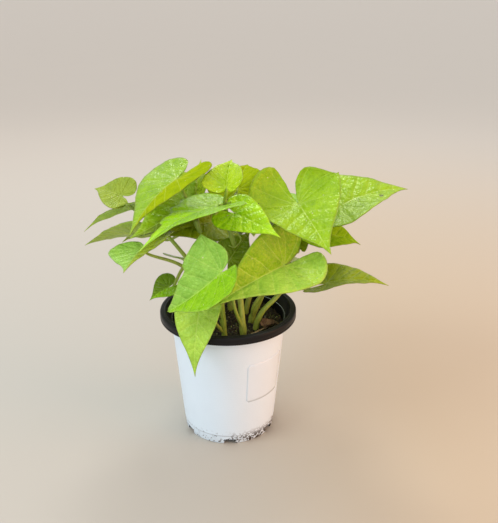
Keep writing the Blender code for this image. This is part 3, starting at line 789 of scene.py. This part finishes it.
def smooth_path(points, steps):
    """Points on a smooth curve through the given ones, evenly many on each stretch."""
    points = [Vector(p) for p in points]
    ends = [points[0] * 2 - points[1]] + points + [points[-1] * 2 - points[-2]]
    made = []
    for before, start, end, after in zip(ends, ends[1:], ends[2:], ends[3:]):
        for step in range(steps):
            t = step / steps
            made.append(0.5 * (
                2.0 * start + (end - before) * t
                + (2.0 * before - 5.0 * start + 4.0 * end - after) * t * t
                + (3.0 * start - before - 3.0 * end + after) * t * t * t
            ))
    made.append(points[-1])
    return made


def half_outline(steps, width, back):
    """The half outline cut into equal lengths, tip first."""
    fine = smooth_path([(u, v, 0.0) for u, v in HALF_OUTLINE], 12)
    along = [0.0]
    for start, end in zip(fine, fine[1:]):
        along.append(along[-1] + (end - start).length)
    made = []
    spot = 0
    for step in range(steps + 1):
        goal = along[-1] * step / steps
        while spot < len(fine) - 2 and along[spot + 1] < goal:
            spot += 1
        share = (goal - along[spot]) / (along[spot + 1] - along[spot])
        point = fine[spot].lerp(fine[spot + 1], min(share, 1.0))
        u = point.x * back if point.x < 0.0 else point.x
        made.append((u, point.y * width))
    return made


def leaf(base, tip, facing, at, left, right, fold=(12, 12), curl=(10, 10), droop=35, lobes=15,
         width=1.0, back=0.9, sweep=0.0, wave=0.012, via=None, wear=0.12, shine=(1.0, 1.0),
         bites=(), spots=()):
    """One leaf's sizes in mm and degrees. Left and right are the colours of its halves, at is
    how far up its stem the stalk leaves, shine is how waxy each half is, and bites and spots
    are (u, v, radius) on the blade."""
    base = Vector(base)
    along = Vector(tip) - base
    reach = along.length
    along.normalize()
    out = Vector(facing)
    out = (out - along * out.dot(along)).normalized()
    bend = math.radians(droop)
    return dict(
        base=base, along=along, out=out, across=out.cross(along), at=at, left=left, right=right,
        length=reach * (bend / 2.0) / math.sin(bend / 2.0), bend=bend,
        fold=[math.radians(angle) for angle in fold],
        curl=[math.radians(angle if abs(angle) > 0.5 else 0.5) for angle in curl],
        lobes=math.radians(lobes) / LOBE_REACH, width=width, back=back, sweep=sweep, wave=wave,
        via=via, wear=wear, shine=shine, bites=bites, spots=spots,
    )


def blade_point(one, u, v):
    """Where a point of the flat blade lies once it droops, folds and curls, in mm."""
    bend = one["bend"]
    lobes = one["lobes"]
    ahead = max(u, 0.0)
    behind = max(-u, 0.0)
    x = (math.sin(bend / 2.0) - math.sin(bend * (0.5 - ahead))) / bend
    z = (math.cos(bend * (0.5 - ahead)) - math.cos(bend / 2.0)) / bend
    x -= (math.sin(bend / 2.0) - math.sin(bend / 2.0 - lobes * behind)) / lobes
    z -= (math.cos(bend / 2.0 - lobes * behind) - math.cos(bend / 2.0)) / lobes
    slope = bend * (0.5 - ahead) if u >= 0.0 else bend / 2.0 - lobes * behind
    side = 0 if v >= 0.0 else 1
    fold = one["fold"][side]
    curl = one["curl"][side]
    turn = fold + curl * abs(v) / HALF_WIDTH
    y = HALF_WIDTH / curl * (math.sin(turn) - math.sin(fold))
    lift = HALF_WIDTH / curl * (math.cos(fold) - math.cos(turn))
    outward = min(math.hypot(u, v) / 0.6, 1.0)
    swing = math.atan2(v, u)
    lift += one["wave"] * outward * outward * math.sin(5.0 * swing)
    lift += 0.005 * outward ** 4 * math.sin(17.0 * swing + 3.0 * one["base"].x)
    y = y if side == 0 else -y
    y += one["sweep"] * 4.0 * min(ahead, 1.0) * (1.0 - min(ahead, 1.0))
    x -= math.sin(slope) * lift
    z += math.cos(slope) * lift
    return one["base"] + (one["along"] * x + one["across"] * y + one["out"] * z) * one["length"]


def bitten(one, u, v):
    """Pulls an outline point in where an insect has eaten the edge."""
    for bite_u, bite_v, radius in one["bites"]:
        gap = math.hypot(u - bite_u, v - bite_v)
        if gap < radius:
            keep = 1.0 - 0.9 * radius * (1.0 - (gap / radius) ** 2) / math.hypot(u, v)
            u, v = u * keep, v * keep
    return u, v


def add_blade(one, points, faces, places, colours, marks):
    """Adds one closed blade to the lists, its upper face first."""
    half = half_outline(BLADE_RAYS, one["width"], one["back"])
    rays = list(reversed(half)) + [(u, -v) for u, v in half[1:]]
    rays = [bitten(one, u, v) for u, v in rays]
    flat = [(0.0, 0.0, 0.0)]
    for u, v in rays:
        for ring in range(1, BLADE_RINGS + 1):
            share = (ring / BLADE_RINGS) ** 0.9
            flat.append((u * share, v * share, share))
    step = 0.006
    upper = [blade_point(one, u, v) for u, v, share in flat]
    lower = []
    for (u, v, share), top in zip(flat, upper):
        slope_u = blade_point(one, u + step, v) - blade_point(one, u - step, v)
        slope_v = blade_point(one, u, v + step) - blade_point(one, u, v - step)
        down = slope_v.cross(slope_u).normalized()
        thick = BLADE_THICK * (1.0 if share < 0.99 else 0.6)
        lower.append(top + down * thick)
    first = len(points)
    count = len(flat)
    low, high = cad_box[0] / MM, cad_box[1] / MM
    for group, under in ((upper, 0.0), (lower, 1.0)):
        for (u, v, share), point in zip(flat, group):
            points.append([min(max(point[i], low[i]), high[i]) for i in range(3)])
            places.append((u, v, under))
            half_share = min(max(0.5 + v / 0.05, 0.0), 1.0)
            left = (*one["left"], one["shine"][0])
            right = (*one["right"], one["shine"][1])
            colours.append([a + (b - a) * half_share for a, b in zip(left, right)])
            spot = 0.0
            for spot_u, spot_v, radius in one["spots"]:
                spot = max(spot, 1.0 - math.hypot(u - spot_u, v - spot_v) / (2.0 * radius))
            marks.append((share, one["wear"], spot))
    made = []
    for ray in range(len(rays) - 1):
        a = 1 + ray * BLADE_RINGS
        b = a + BLADE_RINGS
        made.append((0, b, a))
        for ring in range(BLADE_RINGS - 1):
            made.append((a + ring, b + ring, b + ring + 1, a + ring + 1))
    made += [tuple(count + corner for corner in reversed(face)) for face in made]
    last_ray = 1 + (len(rays) - 1) * BLADE_RINGS
    border = [0] + list(range(1, BLADE_RINGS + 1))
    border += [BLADE_RINGS * (ray + 1) for ray in range(1, len(rays))]
    border += [last_ray + ring for ring in range(BLADE_RINGS - 2, -1, -1)]
    for start, end in zip(border, border[1:] + border[:1]):
        made.append((start, end, count + end, count + start))
    faces += [tuple(first + corner for corner in face) for face in made]


def blades(name, leaves, finish):
    """All blades of one stem as one mesh that carries each leaf's colours and marks."""
    points, faces, places, colours, marks = [], [], [], [], []
    for one in leaves:
        add_blade(one, points, faces, places, colours, marks)
    made = solid(name, points, faces, finish)
    mesh = made.data
    for label, kind, rows, field in (
        ("blade_place", "FLOAT_VECTOR", places, "vector"),
        ("leaf_colour", "FLOAT_COLOR", colours, "color"),
        ("leaf_marks", "FLOAT_VECTOR", marks, "vector"),
    ):
        store = mesh.attributes.new(label, kind, "POINT")
        store.data.foreach_set(field, [number for row in rows for number in row])
    return made


def tube_tree():
    """Round stems along strands of edges, as thick as each point says."""
    tree, enter, leave, keys = geometry_tree("grown_tubes", [
        ("Sides", "NodeSocketInt"),
        ("Finish", "NodeSocketMaterial"),
    ])
    given = enter.outputs
    strand = add_step(tree, "GeometryNodeMeshToCurve", {"Mesh": given["Geometry"]})
    named = {"Name": "thickness"}
    thick = add_step(tree, "GeometryNodeInputNamedAttribute", named, data_type="FLOAT").outputs[0]
    swell_inputs = {"Curve": strand.outputs["Curve"], "Radius": thick}
    swell = add_step(tree, "GeometryNodeSetCurveRadius", swell_inputs)
    ring_inputs = {"Resolution": given["Sides"], "Radius": 1.0}
    ring = add_step(tree, "GeometryNodeCurvePrimitiveCircle", ring_inputs)
    sweep = add_step(tree, "GeometryNodeCurveToMesh", {
        "Curve": swell.outputs["Curve"],
        "Profile Curve": ring.outputs["Curve"],
        "Scale": thick,
        "Fill Caps": True,
    })
    smooth = add_step(tree, "GeometryNodeSetShadeSmooth", {"Geometry": sweep.outputs["Mesh"]})
    real = add_step(tree, "GeometryNodeRealizeInstances", {"Geometry": smooth.outputs["Geometry"]})
    paint = add_step(tree, "GeometryNodeSetMaterial", {
        "Geometry": real.outputs["Geometry"],
        "Material": given["Finish"],
    })
    tree.links.new(paint.outputs["Geometry"], leave.inputs["Geometry"])
    return tree, keys


def tubes(name, strands, finish):
    """One mesh of round tubes. Each strand is its points and, for each, radius and growth."""
    mesh = bpy.data.meshes.new(name)
    points, edges, radii, growth = [], [], [], []
    for path, thick, ages in strands:
        start = len(points)
        points += [point * MM for point in path]
        edges += [(start + i, start + i + 1) for i in range(len(path) - 1)]
        radii += [radius * MM for radius in thick]
        growth += ages
    mesh.from_pydata(points, edges, [])
    mesh.attributes.new("thickness", "FLOAT", "POINT").data.foreach_set("value", radii)
    mesh.attributes.new("growth", "FLOAT", "POINT").data.foreach_set("value", growth)
    host = bpy.data.objects.new(name + "_host", mesh)
    bpy.context.scene.collection.objects.link(host)
    made = grown(name, host, tube_makers[0], tube_makers[1], {"Sides": TUBE_SIDES, "Finish": finish})
    bpy.data.objects.remove(host, do_unlink=True)
    return made


def along_path(path, share):
    """Place and direction at a share of the way along a path."""
    place = share * (len(path) - 1)
    index = min(int(place), len(path) - 2)
    return path[index].lerp(path[index + 1], place - index), (path[index + 1] - path[index]).normalized()


def stem_strand(path, radius, leaves):
    """The rooted stem: it tapers upwards and swells a little at each leaf's joint."""
    foot = Vector((path[0][0], path[0][1], SOIL_LEVEL - ROOT_DEPTH))
    points = smooth_path([foot] + [Vector(p) for p in path], STEM_STEPS)
    count = len(points) - 1
    thick = []
    ages = []
    for index in range(count + 1):
        share = index / count
        above = max((index - STEM_STEPS) / (count - STEM_STEPS), 0.0)
        joint = sum(math.exp(-((above - one["at"]) / JOINT_LENGTH) ** 2) for one in leaves)
        thick.append(radius * (1.0 - STEM_TAPER * share) * (1.0 + JOINT_SWELL * min(joint, 1.0)))
        ages.append(share)
    thick[-1] *= 0.5
    return points, thick, ages


def stalk_strand(one, stem_path):
    """A leaf stalk from inside the stem to the notch, its end sunk into the blade."""
    start, ahead = along_path(stem_path, one["at"])
    under = one["base"] - one["out"] * (BLADE_THICK + 0.4 * STALK_RADIUS)
    if one["via"] is None:
        reach = (under - start).length
        leave = start + (ahead * 0.5 + (under - start).normalized() * 0.5) * reach * 0.4
        drop = Vector((-one["along"].x * 0.6, -one["along"].y * 0.6, -0.8)).normalized()
        arrive = under + drop * reach * 0.35
        path = []
        for step in range(STALK_STEPS + 1):
            t = step / STALK_STEPS
            s = 1.0 - t
            near = s * s * s * start + 3 * s * s * t * leave
            path.append(near + 3 * s * t * t * arrive + t * t * t * under)
    else:
        path = smooth_path([start, one["via"], under], 8)
    count = len(path)
    thick = [STALK_RADIUS * (1.25 - 0.35 * i / (count - 1)) for i in range(count)]
    ages = [0.25 + 0.6 * i / (count - 1) for i in range(count)]
    path.append(one["base"] + one["along"] * 0.6 - one["out"] * BLADE_THICK * 0.5)
    path.append(one["base"] + one["along"] * 3.0 - one["out"] * BLADE_THICK)
    return path, thick + [0.6, 0.3], ages + [0.9, 0.9]


def leafy_stem(node, path, radius, leaves, extra=()):
    """Both pieces that stand for one CAD stem: the stem with its stalks, and the blades."""
    main = stem_strand(path, radius, leaves)
    strands = [main] + [stalk_strand(one, main[0][STEM_STEPS:]) for one in leaves] + list(extra)
    stalks = tubes(node + "_stalks", strands, stem_finish)
    for piece in (stalks, blades(node + "_blades", leaves, leaf_finish)):
        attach(piece, "root")
        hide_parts(node)


def thin_strand(points, radius):
    """A thin strand of even age that tapers a little."""
    path = smooth_path(points, 8)
    count = len(path) - 1
    return path, [radius * (1.0 - 0.4 * i / count) for i in range(count + 1)], [0.5] * (count + 1)


tube_makers = tube_tree()
vein_pattern = vein_group()
leaf_finish = leaf_skin(vein_pattern)
stem_finish = stem_skin()

crown_leaves = [
    leaf((-0.1, -18.7, 202), (3.9, 8.4, 215.6), (-0.3, -0.39, 0.87), 0.98, YELLOW_LIME, YELLOW_LIME,
         fold=(39, 24), curl=(-2, 19), droop=29, lobes=10, width=1.04, back=0.51),
    # Painted light: the next two leaves lie in the shade of the top leaf, so they are given a lighter
    # green.
    leaf((-7.7, -21.7, 189.3), (-59.7, -55.1, 167.3), (-0.34, -0.08, 0.94), 0.86, PAINTED_SUNLIT_GREEN,
         FRESH_GREEN, fold=(10, 7), curl=(-4, 5), droop=38, lobes=18, width=0.8, back=0.5,
         bites=((0.48, -0.26, 0.08), (0.30, -0.36, 0.07), (0.66, -0.14, 0.07), (0.85, -0.04, 0.06))),
    leaf((5.1, -23.4, 185.1), (36.4, -47.2, 174.5), (0.03, -0.37, 0.93), 0.80, PAINTED_SUNLIT_GREEN,
         PAINTED_SUNLIT_GREEN, fold=(21, -15), curl=(-11, 15), droop=15, lobes=24, width=0.75, back=0.66),
    leaf((8, 15, 191), (17, 52, 201), (-0.1, -0.2, 1.0), 0.92, YELLOW_OLIVE, YELLOW_OLIVE,
         fold=(12, 18), shine=(0.0, 0.0)),
    leaf((2, -21, 150), (17, -5, 165), (0.1, -0.7, 0.7), 0.04, PAINTED_SHADE_OLIVE, PAINTED_SHADE_OLIVE,
         fold=(12, 18), via=Vector((4, -29, 118))),
]
curled_stalk = thin_strand([(2, -13.5, 168), (6.8, -19, 168.5), (9.7, -20, 163.7), (5.4, -21, 158.6),
                            (0.8, -20, 159.4)], 0.7)
leafy_stem("stem_top", [(11, -24, 90), (9, -20, 118), (7, -17, 146), (1, -13, 172), (-2, -12, 188)], 2.6,
           crown_leaves, [curled_stalk])

# High left stem
# A rooted stem that leans left. It holds the large folded leaf at the top left and three
# more under and behind it.

leafy_stem("stem_left_high", [(-4, -8, 90), (-8, -6, 120), (-16, -2, 150), (-24, 2, 172)], 2.5, [
    leaf((-36, -1, 204), (-69, -30, 170), (-0.5, -0.4, 0.8), 1.0, LEAF_GREEN, YELLOW_OLIVE,
         fold=(13, 2), curl=(1, -1), lobes=11, wear=0.2, shine=(1.0, 0.0)),
    # Painted shade on one half of this leaf, which lies under the big leaf above.
    leaf((-30, 18, 179), (-72, -8, 161), (-0.1, -0.6, 0.8), 0.95, BRIGHT_LIME, PAINTED_SHADE_OLIVE,
         fold=(18, 12), curl=(25, 10), sweep=0.08),
    leaf((-23, 26, 184), (-20, 52, 205), (-0.6, -0.3, 0.7), 0.85, YELLOW_LIME, YELLOW_OLIVE,
         fold=(0, 20), droop=10),
    leaf((-12, 14, 166), (-49, -4, 160), (0.2, -0.6, 0.8), 0.04, YELLOW_OLIVE, YELLOW_OLIVE,
         via=Vector((-9, -14, 112))),
])

# Low left stem
# A thinner rooted stem in front of the last, with one pale leaf held out to the left and a
# small one under it, one half of it painted dark as shade.

leafy_stem("stem_left_low", [(-14, -13, 90), (-20, -12, 115), (-32, -10, 140)], 2.2, [
    leaf((-61, -17, 157), (-69, -62, 157), (-0.3, 0, 0.9), 0.95, PALE_LIME, YELLOW_OLIVE,
         fold=(6, 6), droop=10),
    leaf((-44, -12, 124), (-58, -20, 117), (0, -0.4, 0.9), 0.98, PAINTED_SHADE_GREEN, FRESH_GREEN,
         fold=(7, 10), back=1.2, width=1.2),
])

# Back left stem
# A rooted stem behind the left side. Its three olive leaves reach the furthest left.

leafy_stem("stem_left_back", [(-10, 6, 90), (-20, 10, 120), (-38, 15, 145), (-52, 20, 160)], 2.2, [
    leaf((-81, 29, 183), (-104, 45, 184), (-0.3, -0.5, 0.8), 1.0, OLIVE, OLIVE, droop=25),
    # Painted light: this leaf faces away from the lamps, so it is given a lighter olive.
    leaf((-68, 33, 176), (-113, 35, 152), (-0.4, 0.3, 0.8), 0.97, PAINTED_SUNLIT_OLIVE, PAINTED_SUNLIT_OLIVE,
         fold=(0, -10), curl=(1, -1), width=0.8),
    leaf((-71, 24, 154), (-110, 20, 146), (-0.2, 0.5, 0.9), 0.9, PALE_OLIVE, PALE_OLIVE,
         fold=(8, -3)),
])

# Front stem
# A short rooted stem at the front. Its large bright leaf hangs to the left, and a narrow
# one hangs over the rim from low down.

leafy_stem("stem_front", [(-3, -24, 90), (-4, -27, 110), (-5, -32, 132)], 2.3, [
    leaf((-4.5, -57.9, 154.6), (-45.8, -53.2, 122), (-0.6, -0.4, 0.7), 0.97, PALE_LIME, FRESH_GREEN,
         fold=(6, 43), curl=(12, -6), droop=9, lobes=55, width=0.99, back=0.8, sweep=0.08,
         via=Vector((-11, -44, 147)), wear=0.2, bites=((1.0, 0.0, 0.10), (0.45, -0.33, 0.07))),
    leaf((-20, -44, 121), (-24, -61, 76), (-0.4, -0.9, 0.2), 0.02, SUN_LIME, SUN_LIME,
         fold=(12, 6), width=0.68, back=0.7, via=Vector((-11, -30, 104))),
])

# Front right stem
# A rooted stem that leans right. One large leaf lies across the pot's front, and a long one
# hangs out to the right.

leafy_stem("stem_front_right", [(21, -13, 90), (26, -14, 104), (38, -12, 117), (46, -10, 134)], 2.5, [
    leaf((40.2, -28.2, 146.8), (-14.1, -70.9, 132.9), (0.12, -0.44, 0.89), 0.9, LEAF_GREEN,
         SUN_LIME, fold=(18, 48), curl=(-12, 6), droop=15, lobes=55, width=0.78, back=0.92),
    leaf((75, -6, 123), (121, -12, 123), (0, 0, 1), 0.7, YELLOW_OLIVE, YELLOW_OLIVE, fold=(6, 9),
         droop=43, shine=(0.3, 0.3)),
])

# Right stem
# A rooted stem with two of the largest leaves: a folded bright one that faces the front and
# a speckled one that reaches furthest right. Two smaller ones sit under them.

leafy_stem("stem_right", [(18, -1, 90), (24, -4, 108), (32, -5, 128), (42, -3, 155)], 2.7, [
    leaf((51.3, -10.2, 187.1), (68.4, -62, 167.9), (0.04, -0.33, 0.94), 1.0, BRIGHT_LIME,
         BRIGHT_LIME, fold=(34, -3), curl=(3, 15), droop=6, lobes=60, width=1.09, back=1.35,
         wear=0.25),
    leaf((53, -9, 153), (51, 13, 158), (-0.3, -0.2, 0.9), 0.04, YELLOW_OLIVE, YELLOW_OLIVE,
         fold=(50, 45), via=Vector((22, -11, 112))),
    leaf((66, -2, 161), (102, 9, 148), (0.4, -0.3, 0.9), 0.9, LEAF_GREEN, LEAF_GREEN,
         shine=(0.0, 0.0)),
    leaf((84, 9, 179), (139, 25, 187), (0, -0.3, 1), 0.98, BRIGHT_LIME, BRIGHT_LIME, fold=(6, 13),
         droop=40, wear=0.5,
         spots=((0.52, -0.14, 0.035), (0.56, -0.09, 0.024), (0.46, -0.18, 0.020))),
])

# Rear stems
# Three rooted stems that fill the back of the pot, out of the photograph's sight. Their
# leaves hang outwards and down, as the ones in front do.

leafy_stem("stem_back_left", [(-6, 14, 90), (-12, 22, 118), (-20, 30, 145), (-26, 34, 164)], 2.4, [
    leaf((-34, 60, 160), (-60, 92, 140), (-0.2, 0.3, 1), 1.0, FRESH_GREEN, BRIGHT_LIME),
    leaf((-56, 54, 142), (-90, 74, 128), (-0.2, 0.3, 1), 0.8, OLIVE, OLIVE),
    leaf((-28, 58, 118), (-34, 98, 94), (-0.1, 0.4, 1), 0.35, YELLOW_OLIVE, BRIGHT_LIME),
])
leafy_stem("stem_back", [(2, 20, 90), (2, 28, 120), (0, 32, 150), (-4, 34, 172)], 2.5, [
    leaf((-2, 54, 182), (-4, 102, 162), (-0.1, 0.3, 1), 1.0, BRIGHT_LIME, BRIGHT_LIME),
    leaf((12, 64, 182), (18, 102, 168), (0.1, -0.1, 1), 0.95, FRESH_GREEN, FRESH_GREEN),
    leaf((-10, 60, 134), (-22, 102, 114), (-0.1, 0.4, 1), 0.7, OLIVE, FRESH_GREEN),
    leaf((16, 60, 142), (24, 102, 122), (0.1, 0.4, 1), 0.04, FRESH_GREEN, OLIVE,
         via=Vector((6, 20, 112)), wear=0.3),
])
leafy_stem("stem_back_right", [(14, 14, 90), (22, 22, 116), (32, 28, 142), (38, 30, 160)], 2.5, [
    leaf((40, 46, 168), (58, 90, 150), (0.1, 0.3, 1), 1.0, FRESH_GREEN, BRIGHT_LIME),
    leaf((58, 48, 166), (94, 78, 152), (0.2, 0.2, 1), 0.95, BRIGHT_LIME, FRESH_GREEN),
    leaf((56, 44, 150), (92, 72, 136), (0.2, 0.3, 1), 0.75, OLIVE, PAINTED_SHADE_OLIVE),
    leaf((26, 60, 118), (36, 102, 96), (0.1, 0.4, 1), 0.35, BRIGHT_LIME, YELLOW_OLIVE),
    leaf((58, 42, 116), (88, 68, 100), (0.2, 0.3, 1), 0.45, YELLOW_OLIVE, OLIVE, wear=0.3),
])

# Shoot tip
# The youngest growth, at the top of the crown: a cluster of leaf buds that are still furled
# round the stem's end.


def furled_bud(base, tip, radius):
    """A closed spindle of soft tissue, thickest a little below its middle."""
    base = Vector(base)
    tip = Vector(tip)
    path = []
    thick = []
    for step in range(9):
        share = step / 8
        path.append(base.lerp(tip, share) + Vector((0.0, -0.5, 0.0)) * math.sin(math.pi * share))
        thick.append(radius * (0.25 + 0.75 * math.sin(math.pi * min(share ** 0.75, 1.0))))
    return path, thick, [1.0] * 9


shoot_tip = tubes("shoot_tip", [
    furled_bud((-2, -14, 187), (-6, -22, 191), 1.3),
    furled_bud((-1, -14, 188), (3, -20, 192), 1.2),
    furled_bud((-2, -12, 187), (-1, -16, 195), 1.5),
    furled_bud((-3, -15, 185), (-9, -24, 184), 1.0),
], stem_finish)
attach(shoot_tip, "root")
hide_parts("stem_top")

# Dead leaf
# A small dried blade with a stub of its stalk, lying crumpled on the soil at the front right.

DRY_BROWN = (0.27, 0.155, 0.080)
DRY_TAN = (0.46, 0.34, 0.18)


def dry_skin(veins):
    """Brittle brown blade with paler veins and a crinkled surface."""
    made, tree, shader, place = finish_start("dry_leaf_skin")
    pattern = add_step(tree, "ShaderNodeGroup", node_tree=veins)
    tree.links.new(attribute(tree, "blade_place", "Vector"), pattern.inputs["Blade"])
    cloud = ramp(tree, mottle(tree, place, 0.004, 5.0), 0.35, 0.70)
    tone = mixed(tree, cloud, DRY_BROWN, darker(DRY_BROWN, 0.5))
    tone = mixed(tree, times(tree, pattern.outputs["Veins"], 0.6), tone, DRY_TAN)
    tree.links.new(tone, shader.inputs["Base Color"])
    roughen(tree, shader, cloud, 0.7, 0.2)
    height = calc(tree, "ADD", pattern.outputs["Quilt"], mottle(tree, place, 0.002, 4.0))
    relief(tree, shader, height, 0.0006)
    return made


def dry_twig():
    """Straw coloured stalk with darker streaks."""
    made, tree, shader, place = finish_start("dry_stalk_skin")
    streak = mottle(tree, place, 0.0015, 4.0)
    tone = mixed(tree, ramp(tree, streak, 0.4, 0.65), DRY_TAN, darker(DRY_TAN, 0.5))
    tree.links.new(tone, shader.inputs["Base Color"])
    roughen(tree, shader, streak, 0.6, 0.2)
    relief(tree, shader, streak, 0.0002)
    return made


dead_blade = blades("dry_leaf_blade", [
    leaf((29, -17, 92.6), (40, -11, 91.6), (0, 0, 1), 0.0, DRY_BROWN, DRY_BROWN, fold=(35, 30),
         curl=(40, 30), droop=30, lobes=30, width=0.9, wave=0.05),
], dry_skin(vein_pattern))
dead_stalk = tubes("dry_leaf_stalk", [
    thin_strand([(17, -29, 92.4), (23, -24, 92.8), (29.8, -16.6, 92.2)], 0.8),
], dry_twig())
for piece in (dead_blade, dead_stalk):
    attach(piece, "root")
    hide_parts("dry_leaf")

# Floor and light
# A plain pale table top, with painted shade near the pot and a painted warm shadow to its right.
# A cool lamp stands at the front left, a warm one low at the right, weaker ones in front and behind,
# and an even glow is all round.

FLOOR_COLOUR = (0.64, 0.57, 0.49)
# Painted shade near the pot, and a painted warm shadow on its right.
FLOOR_NEAR_SHADE = (0.475, 0.445, 0.39)
FLOOR_WARM_SHADOW = (0.51, 0.41, 0.29)
TABLE_REACH = 40000.0
TABLE_TOP = -0.1


def table_finish():
    """Satin top with painted shade near the pot, lighter far away, and a painted warm shadow on its right.
    """
    made, tree, shader, place = finish_start("pale_table")
    shader.inputs["Roughness"].default_value = 0.6
    # Painted shade round the pot, turning into a painted warm shadow on its right and fading out further
    # away.
    near = mixed(tree, ramp(tree, part_of(tree, place, 0), -0.05, 0.18), FLOOR_NEAR_SHADE, FLOOR_WARM_SHADOW)
    tone = mixed(tree, ramp(tree, from_axis(tree, place), 0.15, 1.3), near, FLOOR_COLOUR)
    tone = mixed(tree, times(tree, mottle(tree, place, 0.2), 0.06), tone, FLOOR_NEAR_SHADE)
    tree.links.new(tone, shader.inputs["Base Color"])
    return made


table_corners = [(-TABLE_REACH, -TABLE_REACH), (TABLE_REACH, -TABLE_REACH),
                 (TABLE_REACH, TABLE_REACH), (-TABLE_REACH, TABLE_REACH)]
floor = solid("table_top", [(x, y, TABLE_TOP) for x, y in table_corners], [(0, 1, 2, 3)], table_finish())


def soft_lamp(name, place, aim, size, power, colour):
    """A square lamp, its place, aim and size in metres and its power in watts."""
    light = bpy.data.lights.new(name, "AREA")
    light.size = size
    light.energy = power
    light.color = colour
    lamp = bpy.data.objects.new(name, light)
    lamp.location = place
    lamp.rotation_euler = (Vector(aim) - Vector(place)).to_track_quat("-Z", "Y").to_euler()
    bpy.context.scene.collection.objects.link(lamp)


soft_lamp("key_lamp", (-0.75, -0.35, 0.80), (0.0, 0.0, 0.12), 0.5, 4.3, (0.84, 0.94, 1.0))
soft_lamp("warm_lamp", (0.9, -0.3, 0.35), (0.0, 0.0, 0.10), 0.6, 4.6, (1.0, 0.40, 0.10))
soft_lamp("front_lamp", (0.15, -1.0, 0.60), (0.0, 0.0, 0.14), 0.7, 1.2, (1.0, 0.98, 0.95))
soft_lamp("top_lamp", (-0.05, 0.72, 0.95), (0.02, -0.02, 0.18), 0.3, 3.4, (1.0, 0.99, 0.96))
surroundings = bpy.data.worlds.new("soft_glow")
surroundings.use_nodes = True
glow = surroundings.node_tree.nodes["Background"]
glow.inputs["Color"].default_value = (0.96, 0.96, 0.97, 1.0)
glow.inputs["Strength"].default_value = 0.92
bpy.context.scene.world = surroundings
bpy.context.scene.view_settings.view_transform = "Standard"
